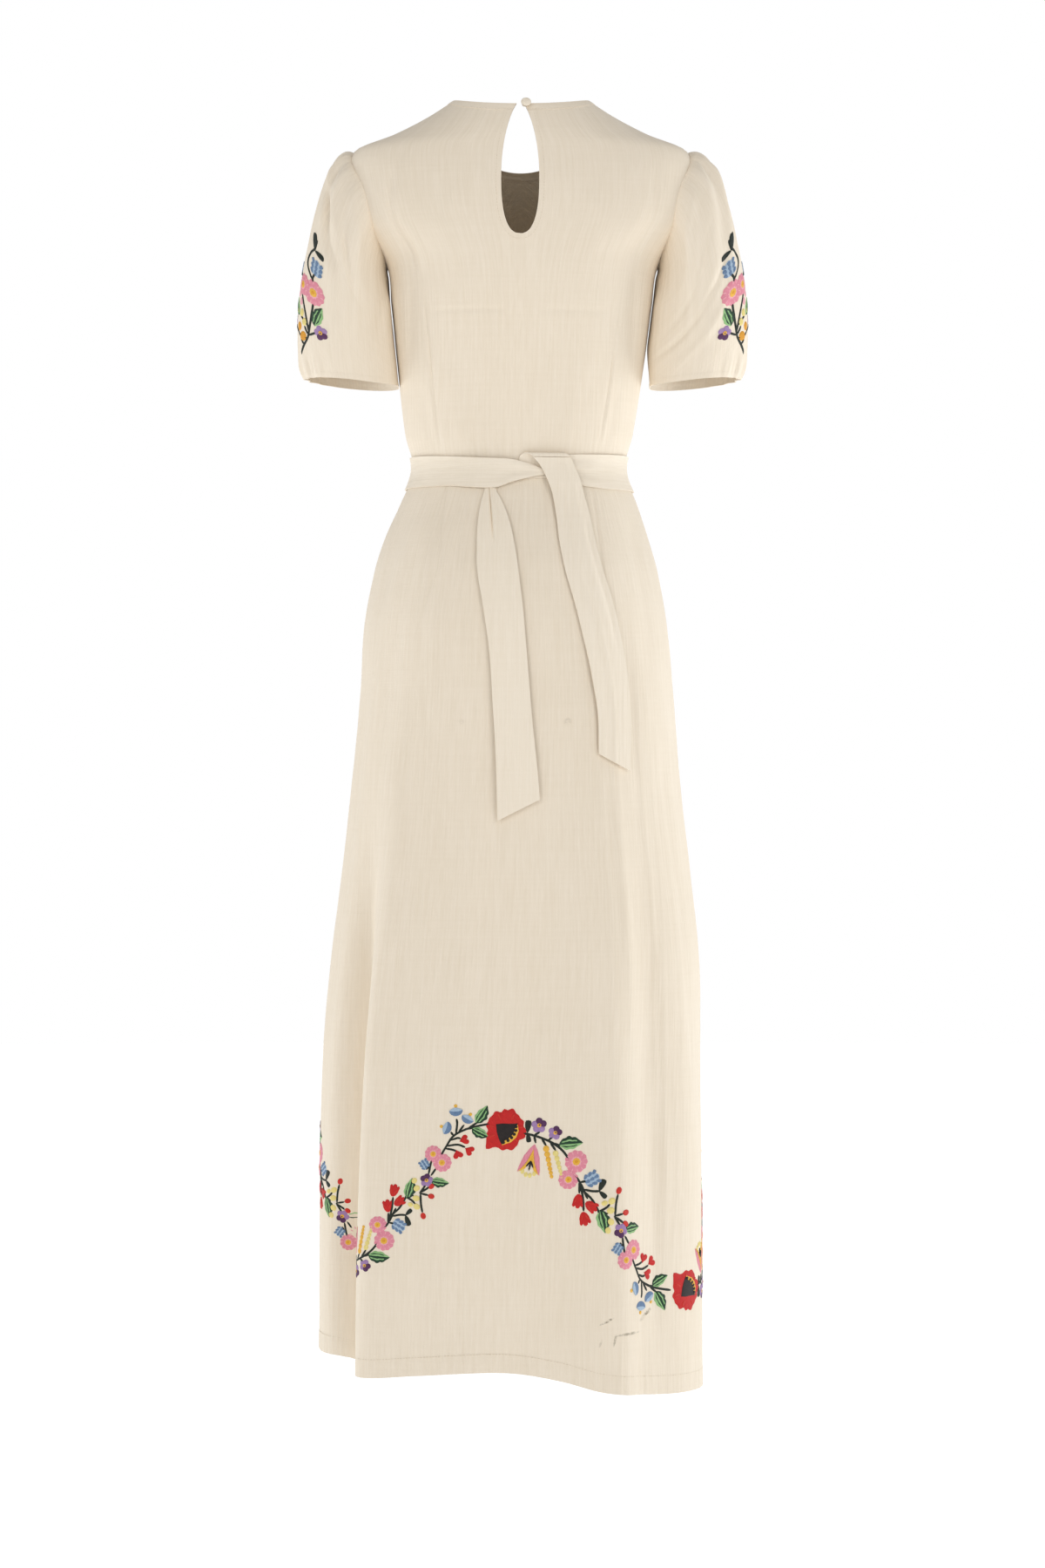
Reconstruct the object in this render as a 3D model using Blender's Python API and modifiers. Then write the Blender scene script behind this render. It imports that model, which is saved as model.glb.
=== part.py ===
# A cream short-sleeved maxi dress in its worn form, its back towards -Y, +X to the right seen from behind.
# The origin is the middle of the neck and shoulder line, where a wearer holds the dress up. Metres, +Z up.
import math

import bmesh
import bpy
import numpy as np

# Driving dimensions
CLOTH = 0.0015            # wall of the dress cloth, with its seam allowances pressed flat
BINDING = 0.0020          # wall of the folded neck binding
BELT = 0.0016             # wall of the double belt
SEAM_GAP = 0.0003         # space between two sewn pieces
SIDE_RADIUS = 0.10        # rough radius of the side, which turns a seam gap into an angle
WAIST_Z = -0.4120         # waist seam, under the belt
UNDERARM_Z = -0.1830
SHOULDER_TIP_Z = -0.0575
NAPE_DROP = 0.0105        # how far the neckline drops at the nape
FRONT_NECK_DROP = 0.0650  # how far it drops in front
NECK_BINDING_WIDTH = 0.0080
NECK_ROUNDING = 1.08      # 1 gives an ellipse in front, more gives a V
SHOULDER_DROP = 0.47      # drop of a line on the shoulder for each metre that it lies from the neck edge
HEM_Z = -1.4110           # middle of the hem line
HEM_SLANT = 0.0095        # the right side of the hem hangs lower, the left side higher
HEM_TWIST = math.radians(-5.0)
HIP_Z = -0.60             # the skirt starts to turn and fall free below here

# Body sections from the neck down:
# height, middle, half width, depth to the back, depth to the front, squareness
SECTIONS = np.array((
    (0.0020, -0.0015, 0.0740, 0.0490, 0.0610, 2.10),
    (0.0000, -0.0015, 0.0765, 0.0500, 0.0630, 2.10),
    (-0.0205, -0.0015, 0.1080, 0.0620, 0.0760, 2.25),
    (-0.0400, -0.0018, 0.1450, 0.0720, 0.0850, 2.45),
    (-0.0575, -0.0020, 0.1860, 0.0790, 0.0910, 2.65),
    (-0.1000, -0.0010, 0.1915, 0.0940, 0.1060, 2.80),
    (-0.1400, 0.0000, 0.1830, 0.1030, 0.1200, 2.80),
    (-0.1830, 0.0000, 0.1520, 0.1080, 0.1300, 2.60),
    (-0.2300, -0.0010, 0.1450, 0.1075, 0.1310, 2.45),
    (-0.2900, -0.0020, 0.1380, 0.1020, 0.1160, 2.35),
    (-0.3725, -0.0039, 0.1268, 0.0920, 0.0940, 2.30),
    (-0.4120, -0.0039, 0.1178, 0.0880, 0.0870, 2.25),
    (-0.4505, -0.0044, 0.1320, 0.0980, 0.0920, 2.25),
    (-0.4895, -0.0068, 0.1472, 0.1120, 0.0990, 2.25),
    (-0.5285, -0.0073, 0.1584, 0.1240, 0.1060, 2.25),
    (-0.5870, -0.0078, 0.1687, 0.1330, 0.1130, 2.25),
    (-0.6650, -0.0070, 0.1740, 0.1370, 0.1190, 2.25),
    (-0.7625, -0.0080, 0.1825, 0.1410, 0.1270, 2.25),
    (-0.8600, -0.0078, 0.1935, 0.1470, 0.1370, 2.25),
    (-0.9575, -0.0088, 0.2045, 0.1540, 0.1500, 2.25),
    (-1.0550, -0.0120, 0.2095, 0.1620, 0.1630, 2.25),
    (-1.2000, -0.0127, 0.2121, 0.1740, 0.1770, 2.25),
    (-1.4250, -0.0127, 0.2125, 0.1870, 0.1910, 2.25),
))

# Skirt folds: angle at the hip, angle at the hem, half width in degrees, depth at the hem, height where it
# starts, height where it is full. Angles go round from the centre back: 90 is the right side seam and 180 the
# centre front. A trough is below zero.
FOLDS = (
    (-40, -43, 7.5, 0.0080, -0.62, -1.10),
    (-54, -57, 8.5, -0.0400, -0.74, -1.12),
    (-80, -82, 9.0, 0.0010, -0.80, -1.20),
    (-20, -24, 10.0, -0.0035, -0.60, -1.20),
    (6, 4, 11.0, -0.0030, -0.70, -1.25),
    (33, 38, 7.0, 0.0035, -0.62, -1.00),
    (41, 46, 6.0, -0.0060, -0.70, -1.15),
    (47, 56, 7.0, 0.0080, -0.66, -1.10),
    (54, 65, 6.0, -0.0100, -0.80, -1.15),
    (60, 75, 8.0, 0.0070, -0.80, -1.20),
    (112, 112, 9.0, 0.0080, -0.62, -1.15),
    (127, 126, 9.0, -0.0180, -0.70, -1.20),
    (143, 142, 9.0, 0.0080, -0.62, -1.15),
    (165, 164, 10.0, -0.0060, -0.60, -1.15),
    (184, 186, 10.0, 0.0050, -0.66, -1.20),
    (203, 204, 9.0, -0.0100, -0.70, -1.20),
    (220, 220, 9.0, 0.0080, -0.62, -1.15),
    (241, 240, 9.0, -0.0160, -0.72, -1.20),
)

# Teardrop keyhole in the back bodice
KEYHOLE_X = -0.0025
KEYHOLE_TOP_Z = -0.0088
KEYHOLE_WIDEST_Z = -0.0962
KEYHOLE_BOTTOM_Z = -0.1605
KEYHOLE_HALF_WIDTH = 0.0209
KEYHOLE_TOP_HALF_WIDTH = 0.0025
KEYHOLE_FULLNESS = 2.5    # 2 gives a half ellipse at the bottom, more a fuller one
KEYHOLE_OPENING = 0.75    # less opens it sooner below the button

# Armholes: how far each panel is cut back, in degrees round the body
ARMHOLE_CUT_BACK = 22.0
ARMHOLE_CUT_FRONT = 27.0
ARMHOLE_ROUNDING = 0.7

# Sleeves
CUFF_X = 0.1920           # middle of the cuff from the middle of the dress
CUFF_HALF_WIDTH = 0.0490
CUFF_HALF_DEPTH = 0.0580
CUFF_Z = -0.3150
CUFF_SLANT = 0.0050       # the cuff's outer side is higher
HEAD_LIFT = 0.0650        # how strongly the gathered head rises
HEAD_REACH = {-1: 0.1100, 1: 0.1350}   # how strongly the left and right head stand out
FLANK_REACH = 0.0400      # how strongly the sleeve's front and back stand out from the armhole
FLANK_SWELL = 0.0550      # how strongly they swell to the front and back
FLANK_DROP = 0.0500
UNDERARM_DROP = 0.1100
CUFF_DROP = 0.1700        # how straight the sleeve comes down to the cuff
CUFF_TUCK = 0.0660        # how far the elastic draws the outer side in
CUFF_FLANK_TUCK = 0.0150
ARMHOLE_GAP_TOP = 0.0011  # from the middle of the bodice's wall to the middle of the sleeve's
ARMHOLE_GAP_UNDER = 0.0021
GATHERED_SHARE = 0.13     # share of the sleeve to each side of its top that is gathered
HEAD_GATHERS = 5
HEAD_GATHER_DEPTH = 0.0030
HEAD_GATHER_MIDDLE = 0.16
HEAD_GATHER_LENGTH = 0.14
CUFF_GATHERS = 5
CUFF_GATHER_DEPTH = 0.0022
CUFF_GATHER_SPAN = (0.74, 0.94)

# Belt round the waist: angle, upper edge, lower edge, distance out from the body
BELT_ROWS = (
    (18, -0.4015, -0.4335, 0.0023),
    (30, -0.4013, -0.4360, 0.0023),
    (50, -0.4015, -0.4400, 0.0023),
    (90, -0.4020, -0.4410, 0.0023),
    (135, -0.4025, -0.4400, 0.0023),
    (180, -0.4030, -0.4395, 0.0023),
    (225, -0.4030, -0.4390, 0.0023),
    (270, -0.4030, -0.4385, 0.0023),
    (310, -0.4030, -0.4370, 0.0023),
    (326, -0.4035, -0.4360, 0.0024),
    (338, -0.4042, -0.4370, 0.0044),
    (351, -0.4052, -0.4372, 0.0048),
    (357, -0.4062, -0.4318, 0.0050),
    (364, -0.4115, -0.4262, 0.0052),
    (371, -0.4180, -0.4232, 0.0052),
)

# Belt tails: height, left edge, right edge, distance out from the skirt
TAIL_RIGHT_ROWS = (
    (-0.4043, 0.0112, 0.0502, 0.0086),
    (-0.4140, 0.0190, 0.0540, 0.0090),
    (-0.4290, 0.0262, 0.0600, 0.0088),
    (-0.4450, 0.0318, 0.0650, 0.0066),
    (-0.4700, 0.0362, 0.0720, 0.0050),
    (-0.5000, 0.0400, 0.0785, 0.0042),
    (-0.5320, 0.0465, 0.0870, 0.0040),
    (-0.5660, 0.0560, 0.0970, 0.0044),
    (-0.6040, 0.0650, 0.1050, 0.0052),
    (-0.6420, 0.0730, 0.1110, 0.0060),
    (-0.6900, 0.0800, 0.1150, 0.0062),
    (-0.7390, 0.0815, 0.1150, 0.0060),
)
TAIL_RIGHT_TIP_SLANT = 0.0190   # the right corner hangs lower
TAIL_LEFT_ROWS = (
    (-0.4220, -0.0390, -0.0300, 0.0020),
    (-0.4390, -0.0410, -0.0290, 0.0021),
    (-0.4560, -0.0450, -0.0210, 0.0040),
    (-0.4780, -0.0480, -0.0135, 0.0050),
    (-0.5050, -0.0490, -0.0080, 0.0046),
    (-0.5300, -0.0485, -0.0045, 0.0044),
    (-0.5720, -0.0420, 0.0005, 0.0046),
    (-0.6200, -0.0355, 0.0045, 0.0052),
    (-0.6850, -0.0310, 0.0100, 0.0060),
    (-0.7350, -0.0275, 0.0150, 0.0062),
    (-0.7910, -0.0250, 0.0200, 0.0060),
)
TAIL_LEFT_TIP_SLANT = -0.0230   # the left corner hangs lower

TIP_START = 0.82                # share of a tail where its slanted tip starts

# Knot: a strip that comes up behind the belt's end, folds over the top and meets the right tail
KNOT_ROWS = (
    (-0.4270, -0.0035, 0.0300, 0.0019),
    (-0.4150, -0.0040, 0.0320, 0.0019),
    (-0.4045, -0.0035, 0.0335, 0.0020),
    (-0.4008, -0.0010, 0.0390, 0.0032),
    (-0.3995, 0.0030, 0.0440, 0.0052),
    (-0.4008, 0.0075, 0.0475, 0.0075),
    (-0.4038, 0.0110, 0.0500, 0.0086),
)

# Button and loop at the nape
BUTTON_X = 0.0039
BUTTON_Z = -0.0118
BUTTON_RADIUS = 0.0048
BUTTON_DEPTH = 0.0046
LOOP_WIRE = 0.0012        # thickness of the rouleau loop
LOOP_RADIUS = 0.0038
LOOP_TURN = 150           # degrees to each side that the loop goes round
LOOP_STEPS = 14

# Mesh density
BODICE_COLUMNS = 11       # from the centre to each side
FRONT_SPREAD = 1.5        # columns lie closer at the middle, where the neckline curves
BACK_SPREAD = 1.2
BODICE_ROWS_Z = (-0.402, -0.390, -0.365, -0.330, -0.290, -0.250, -0.215, -0.188, -0.170, -0.1605,
                 -0.1560, -0.1480, -0.1340, -0.1130, -0.0900, -0.0680, -0.0480, -0.0320)
SKIRT_COLUMNS = 40
SKIRT_ROWS_Z = (-0.4220, -0.4320, -0.4450, -0.4620, -0.4850, -0.5150, -0.5600, -0.6200, -0.6900, -0.7700,
                -0.8600, -0.9500, -1.0400, -1.1300, -1.2200, -1.3150)
SLEEVE_COLUMNS = 36
SLEEVE_ROWS = 9
SLEEVE_CROWDING = 0.62    # 0 gives even columns, more crowds them at the gathers

CREAM = (0.80, 0.70, 0.56)
LIGHT_CREAM = (0.84, 0.75, 0.61)

# Start with an empty scene.
for old in list(bpy.data.objects):
    bpy.data.objects.remove(old)
DRESS = bpy.data.collections.new("maxi_dress")
bpy.context.scene.collection.children.link(DRESS)


def smooth(table, key):
    """Row of a table at a key in its first column, on a smooth curve through the rows."""
    table = np.asarray(table, float)
    if table[0, 0] > table[-1, 0]:
        table = table[::-1]
    keys = table[:, 0]
    key = min(max(key, keys[0]), keys[-1])
    k = min(max(int(np.searchsorted(keys, key)) - 1, 0), len(keys) - 2)
    slopes = []
    for i in (k, k + 1):
        low, high = max(i - 1, 0), min(i + 1, len(keys) - 1)
        slopes.append((table[high, 1:] - table[low, 1:]) / (keys[high] - keys[low]))
    span = keys[k + 1] - keys[k]
    f = (key - keys[k]) / span
    start, end = table[k, 1:], table[k + 1, 1:]
    return ((2 * f ** 3 - 3 * f ** 2 + 1) * start + (f ** 3 - 2 * f ** 2 + f) * span * slopes[0]
            + (3 * f ** 2 - 2 * f ** 3) * end + (f ** 3 - f ** 2) * span * slopes[1])


def ramp(value, start, full):
    """0 at start, 1 at full, with soft ends."""
    f = min(max((value - start) / (full - start), 0.0), 1.0)
    return f * f * (3 - 2 * f)


def fold_depth(angle, z):
    """How far the folds move the skirt out at an angle round the body."""
    depth = 0.0
    for hip_angle, hem_angle, half_width, hem_depth, start, full in FOLDS:
        middle = hip_angle + (hem_angle - hip_angle) * ramp(z, start, HEM_Z)
        away = (angle - middle + 180) % 360 - 180
        depth += hem_depth * ramp(z, start, full) * math.exp(-((away / half_width) ** 2))
    return depth


def body_point(angle, z, out=0.0):
    """Point of the worn cloth at an angle in degrees from the centre back, moved out along the section."""
    middle, half_width, back, front, square = smooth(SECTIONS, z)
    a = math.radians(angle)
    across, along = math.sin(a), math.cos(a)
    depth = back if along > 0 else front
    x = half_width * math.copysign(abs(across) ** (2 / square), across)
    y = -depth * math.copysign(abs(along) ** (2 / square), along)
    normal = np.array((math.copysign(abs(x / half_width) ** (square - 1), x) / half_width,
                       math.copysign(abs(y / depth) ** (square - 1), y) / depth))
    normal /= np.linalg.norm(normal)
    moved = out + fold_depth(angle, z)
    x, y = x + normal[0] * moved, y + normal[1] * moved
    twist = HEM_TWIST * ramp(z, HIP_Z, HEM_Z)
    return np.array((middle + x * math.cos(twist) - y * math.sin(twist),
                     x * math.sin(twist) + y * math.cos(twist), z))


def angle_at(x, z):
    """Angle of the back point at a distance across."""
    middle, half_width, _, _, square = smooth(SECTIONS, z)
    share = min(max((x - middle) / half_width, -1.0), 1.0)
    return math.degrees(math.asin(math.copysign(abs(share) ** (square / 2), share)))


def back_neck_z(angle, margin):
    """Height of the line that lies a margin below the neck edge, across the back."""
    at_nape = NAPE_DROP + (1 - SHOULDER_DROP) * margin
    return -SHOULDER_DROP * margin - at_nape * math.cos(math.radians(angle)) ** 2


def neck_line(around, margin):
    """Angle and height of the neck edge, or of a line a margin below it. 0 is the centre back."""
    if math.cos(math.radians(around)) >= 0:
        return (around + 180) % 360 - 180, back_neck_z(around, margin)
    at_front = FRONT_NECK_DROP + (1 - SHOULDER_DROP) * margin
    side_z = -SHOULDER_DROP * margin
    z = side_z - at_front * abs(math.cos(math.radians(around))) ** NECK_ROUNDING
    half_neck = smooth(SECTIONS, side_z)[1]
    _, half_width, _, _, square = smooth(SECTIONS, z)
    share = min(half_neck * abs(math.sin(math.radians(around))) / half_width, 1.0)
    turn = math.degrees(math.asin(share ** (square / 2)))
    return (180 - turn if around < 180 else 180 + turn), z


def neck_z(front, angle, margin=NECK_BINDING_WIDTH):
    """Height of the line a margin below the neck edge, at an angle of 0 to 90 from the panel's middle."""
    if not front:
        return back_neck_z(angle, margin)
    turn, height = zip(*sorted(neck_line(90 + 2 * i, margin) for i in range(46)))
    return float(np.interp(180 - angle, turn, height))


def keyhole_half_width(z):
    """Half width of the teardrop at a height, 0 below its bottom."""
    if z <= KEYHOLE_BOTTOM_Z:
        return 0.0
    if z < KEYHOLE_WIDEST_Z:
        down = (KEYHOLE_WIDEST_Z - z) / (KEYHOLE_WIDEST_Z - KEYHOLE_BOTTOM_Z)
        return KEYHOLE_HALF_WIDTH * (1 - down ** KEYHOLE_FULLNESS) ** (1 / KEYHOLE_FULLNESS)
    down = min(max((KEYHOLE_TOP_Z - z) / (KEYHOLE_TOP_Z - KEYHOLE_WIDEST_Z), 0.0), 1.0)
    widening = math.sin(math.pi / 2 * down ** KEYHOLE_OPENING)
    return KEYHOLE_TOP_HALF_WIDTH + (KEYHOLE_HALF_WIDTH - KEYHOLE_TOP_HALF_WIDTH) * widening


def armhole_angle(front, z):
    """Outer edge of a bodice panel: the side seam, the armhole cut back from it, then the shoulder seam."""
    share = (z - UNDERARM_Z) / (SHOULDER_TIP_Z - UNDERARM_Z)
    cut = ARMHOLE_CUT_FRONT if front else ARMHOLE_CUT_BACK
    seam = math.degrees(SEAM_GAP / 2 / SIDE_RADIUS)
    if share <= 0 or share >= 1:
        return 90 - seam
    return 90 - seam - cut * math.sin(math.pi * share) ** ARMHOLE_ROUNDING


def opening_angle(side, z):
    """Angle of the keyhole's edge at a height, measured to its own side. 0 below the keyhole."""
    opening = keyhole_half_width(z)
    return side * angle_at(KEYHOLE_X + side * opening, z) if opening else 0.0


def bodice_place(front, side, across, up):
    """Point of a bodice panel. across goes 0 to 1 from middle to side, up from waist to neck."""
    low = WAIST_Z + SEAM_GAP / 2
    seam_z = low + (neck_z(front, 90) - low) * up
    outer = armhole_angle(front, seam_z)
    if front:
        angle = outer * across ** FRONT_SPREAD
        z = low + (neck_z(True, angle) - low) * up
        return body_point(side * (180 - angle), z)
    inner = opening_angle(side, low + (neck_z(False, 0) - low) * up)
    angle = inner + (outer - inner) * across ** BACK_SPREAD
    z = low + (neck_z(False, max(angle, 0.0)) - low) * up
    return body_point(side * angle, z)


def binding_place(front, side, across, down):
    """Point of the neck binding, in line with the columns of the panel below it."""
    margin = down * (NECK_BINDING_WIDTH - SEAM_GAP)
    outer = armhole_angle(front, 0.0)
    if front:
        angle = outer * across ** FRONT_SPREAD
        return body_point(side * (180 - angle), neck_z(True, angle, margin))
    inner = opening_angle(side, neck_z(False, 0, margin))
    angle = inner + (outer - inner) * across ** BACK_SPREAD
    return body_point(side * angle, neck_z(False, max(angle, 0.0), margin))


def armhole_point(side, around):
    """Point of the armhole. around is 0 at the shoulder tip, 0.25 at the back, 0.5 under the arm."""
    drop = (1 - math.cos(2 * math.pi * around)) / 2
    low = WAIST_Z + SEAM_GAP / 2
    seam_z = SHOULDER_TIP_Z + (UNDERARM_Z - SHOULDER_TIP_Z) * drop
    front = around > 0.5
    up = (seam_z - low) / (neck_z(front, 90) - low)
    return bodice_place(front, side, 1.0, up)


def sleeve_place(side, around, down):
    """Point of a sleeve, from the armhole at 0 to the cuff at 1."""
    turn = 2 * math.pi * around
    top, under, flank = (1 + math.cos(turn)) / 2, (1 - math.cos(turn)) / 2, math.sin(turn)
    start = armhole_point(side, around)
    start[0] += side * (ARMHOLE_GAP_TOP * top + ARMHOLE_GAP_UNDER * under)
    end = np.array((side * (CUFF_X + CUFF_HALF_WIDTH * math.cos(turn)), -CUFF_HALF_DEPTH * flank,
                    CUFF_Z + CUFF_SLANT * math.cos(turn)))
    leave = np.array((side * (HEAD_REACH[side] * top ** 1.5 + FLANK_REACH * flank ** 2), -FLANK_SWELL * flank,
                      HEAD_LIFT * top ** 2 - UNDERARM_DROP * under - FLANK_DROP * flank ** 2))
    arrive = np.array((-side * CUFF_TUCK * top, CUFF_FLANK_TUCK * flank, -CUFF_DROP))
    f = down
    place = ((2 * f ** 3 - 3 * f ** 2 + 1) * start + (f ** 3 - 2 * f ** 2 + f) * leave
             + (3 * f ** 2 - 2 * f ** 3) * end + (f ** 3 - f ** 2) * arrive)
    from_top = (around + 0.5) % 1 - 0.5
    gathered = math.exp(-((from_top / GATHERED_SHARE) ** 2))
    head = gathered * math.exp(-((down - HEAD_GATHER_MIDDLE) / HEAD_GATHER_LENGTH) ** 2)
    cuff = gathered * ramp(down, *CUFF_GATHER_SPAN)
    waves = 2 * math.pi * from_top / (2.6 * GATHERED_SHARE)
    gather = (head * HEAD_GATHER_DEPTH * math.cos(HEAD_GATHERS * waves)
              + cuff * CUFF_GATHER_DEPTH * math.cos(CUFF_GATHERS * waves))
    out = np.array((side * math.cos(turn), -flank, 0.5 * top * (1 - down)))
    return place + out / np.linalg.norm(out) * gather


def sleeve_column(share):
    """Spacing of the sleeve's columns, closer where it is gathered."""
    return share - SLEEVE_CROWDING * math.sin(2 * math.pi * share) / (2 * math.pi)


def hem_z(angle):
    """Height of the hem at an angle."""
    return HEM_Z - HEM_SLANT * math.sin(math.radians(angle))


def skirt_place(front, across, down):
    """Point of a skirt panel. across goes 0 to 1 from seam to seam, down from the waist to the hem."""
    seam = math.degrees(SEAM_GAP / 2 / SIDE_RADIUS)
    angle = -90 + seam + (180 - 2 * seam) * across
    if front:
        angle += 180
    top = WAIST_Z - SEAM_GAP / 2
    return body_point(angle, top + (hem_z(angle) - top) * down)


def belt_place(along, up):
    """Point of the belt, from its hidden start round the front to the end that the knot pinches."""
    angle = BELT_ROWS[0][0] + (BELT_ROWS[-1][0] - BELT_ROWS[0][0]) * along
    upper, lower, out = smooth(BELT_ROWS, angle)
    return body_point(angle, lower + (upper - lower) * up, out)


def strip_place(rows, tip_slant, along, across):
    """Point of a belt tail or the knot, on a smooth strip through its rows."""
    steps = np.array([(i / (len(rows) - 1), *row) for i, row in enumerate(rows)])
    z, left, right, out = smooth(steps, along)
    x = left + (right - left) * across
    z -= tip_slant * (across - 0.5) * ramp(along, TIP_START, 1.0)
    return body_point(angle_at(x, z), z, out)


def material(name, colour, roughness):
    """Plain material of one piece."""
    paint = bpy.data.materials.new(name)
    paint.use_nodes = True
    shader = paint.node_tree.nodes["Principled BSDF"]
    shader.inputs["Base Color"].default_value = (*colour, 1.0)
    shader.inputs["Roughness"].default_value = roughness
    shader.inputs["Metallic"].default_value = 0.0
    return paint


def put(name, mesh, colour, roughness=0.9):
    """New object of the dress with its own material."""
    piece = bpy.data.objects.new(name, mesh)
    piece.data.materials.append(material(name, colour, roughness))
    DRESS.objects.link(piece)
    return piece


def loft(sheets):
    """Open mesh of one or more grids of points. A grid is a list of rows, closed round if they repeat."""
    bm = bmesh.new()
    for rows, closed in sheets:
        verts = [[bm.verts.new(point) for point in row] for row in rows]
        count = len(rows[0])
        for low, high in zip(verts, verts[1:]):
            for i in range(count if closed else count - 1):
                bm.faces.new((low[i], low[(i + 1) % count], high[(i + 1) % count], high[i]))
    bmesh.ops.remove_doubles(bm, verts=bm.verts, dist=0.00005)
    bmesh.ops.recalc_face_normals(bm, faces=bm.faces)
    return bm


def cloth(name, sheets, thickness, colour, outward):
    """Cloth wall with the sheet in its middle. outward is where one of its first faces looks to."""
    bm = loft(sheets)
    bm.faces.ensure_lookup_table()
    first = bm.faces[len(bm.faces) // 2]
    if first.normal.dot(outward(first.calc_center_median())) < 0:
        bmesh.ops.reverse_faces(bm, faces=bm.faces)
    mesh = bpy.data.meshes.new(name)
    bm.to_mesh(mesh)
    bm.free()
    piece = put(name, mesh, colour)
    wall = piece.modifiers.new("wall", "SOLIDIFY")
    wall.thickness = thickness
    wall.offset = 0.0
    wall.use_quality_normals = True
    mesh.shade_smooth()
    mesh.set_sharp_from_angle(angle=math.radians(45))
    return piece


def from_axis(point):
    """Direction from the dress's upright middle line to a point."""
    return (point.x, point.y, 0.0)


def grid(place, rows, columns):
    """Rows of points of a place function over two shares."""
    return [[place(i / columns, j / rows) for i in range(columns + 1)] for j in range(rows + 1)]


def bodice(name, front):
    """Back or front bodice: two halves that join at the middle, open at the back's keyhole."""
    low = WAIST_Z + SEAM_GAP / 2
    middle_top = neck_z(front, 0)
    heights = [low] + [z for z in BODICE_ROWS_Z if z < middle_top - 0.004] + [middle_top]
    if front:
        share = (middle_top - low) / (neck_z(False, 0) - low)
        heights = [low] + [low + (z - low) * share for z in BODICE_ROWS_Z] + [middle_top]
    ups = [(z - low) / (middle_top - low) for z in heights]
    sheets = []
    for side in (-1, 1):
        rows = [[bodice_place(front, side, i / BODICE_COLUMNS, up) for i in range(BODICE_COLUMNS + 1)]
                for up in ups]
        sheets.append((rows, False))
    return cloth(name, sheets, CLOTH, CREAM, from_axis)


def sleeve(name, side):
    """Short sleeve with a gathered head and a gathered cuff."""
    rows = [[sleeve_place(side, sleeve_column(i / SLEEVE_COLUMNS), j / SLEEVE_ROWS)
             for i in range(SLEEVE_COLUMNS)] for j in range(SLEEVE_ROWS + 1)]
    return cloth(name, [(rows, True)], CLOTH, CREAM, lambda p: (p.x - side * CUFF_X, p.y, 0.0))


def skirt(name, front):
    """Back or front skirt panel."""
    top = WAIST_Z - SEAM_GAP / 2
    downs = [0.0] + [(z - top) / (HEM_Z - top) for z in SKIRT_ROWS_Z] + [1.0]
    rows = [[skirt_place(front, i / SKIRT_COLUMNS, down) for i in range(SKIRT_COLUMNS + 1)] for down in downs]
    return cloth(name, [(rows, False)], CLOTH, CREAM, from_axis)


def belt():
    """Belt round the waist, its knot and its two tails."""
    cloth("belt_band", [(grid(belt_place, 2, 56), False)], BELT, LIGHT_CREAM, from_axis)
    for name, rows, slant in (("belt_tail_left", TAIL_LEFT_ROWS, TAIL_LEFT_TIP_SLANT),
                              ("belt_tail_right", TAIL_RIGHT_ROWS, TAIL_RIGHT_TIP_SLANT)):
        strip = grid(lambda across, along: strip_place(rows, slant, along, across), 16, 3)
        cloth(name, [(strip, False)], BELT, LIGHT_CREAM, from_axis)
    fold = grid(lambda across, along: strip_place(KNOT_ROWS, 0.0, along, across), 14, 3)
    cloth("belt_knot", [(fold, False)], BELT * 0.8, LIGHT_CREAM, lambda p: (0.0, 0.0, 1.0))


def neck_binding():
    """Narrow folded strip round the neck edge, open at the centre back."""
    columns = [i / BODICE_COLUMNS for i in range(BODICE_COLUMNS + 1)]
    order = [(False, -1, share) for share in columns] + [(True, -1, share) for share in reversed(columns)]
    order += [(True, 1, share) for share in columns[1:]] + [(False, 1, share) for share in reversed(columns)]
    rows = [[binding_place(front, side, share, down) for front, side, share in order] for down in (0, 0.5, 1)]
    cloth("neck_binding", [(rows, False)], BINDING, CREAM, from_axis)


def nape_place(right, up, out):
    """Point on the tilted plane at the nape that the button and its loop lie on."""
    seat = body_point(angle_at(BUTTON_X, BUTTON_Z), BUTTON_Z)
    below = body_point(angle_at(BUTTON_X, BUTTON_Z - 0.004), BUTTON_Z - 0.004)
    rise = (seat - below) / np.linalg.norm(seat - below)
    normal = np.cross((1.0, 0.0, 0.0), rise)
    return seat + np.array((right, 0.0, 0.0)) + rise * up + normal / np.linalg.norm(normal) * out


def button():
    """Covered button, a low dome sewn on at the nape."""
    mesh = bpy.data.meshes.new("button")
    bm = bmesh.new()
    bmesh.ops.create_uvsphere(bm, u_segments=16, v_segments=8, radius=1.0)
    stand_off = BINDING / 2 + LOOP_WIRE + 2 * SEAM_GAP + BUTTON_DEPTH / 2
    for vert in bm.verts:
        vert.co = nape_place(vert.co.x * BUTTON_RADIUS, vert.co.y * BUTTON_RADIUS,
                             stand_off + vert.co.z * BUTTON_DEPTH / 2)
    bmesh.ops.recalc_face_normals(bm, faces=bm.faces)
    bm.to_mesh(mesh)
    bm.free()
    mesh.shade_smooth()
    put("button", mesh, LIGHT_CREAM, 0.7)


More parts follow.
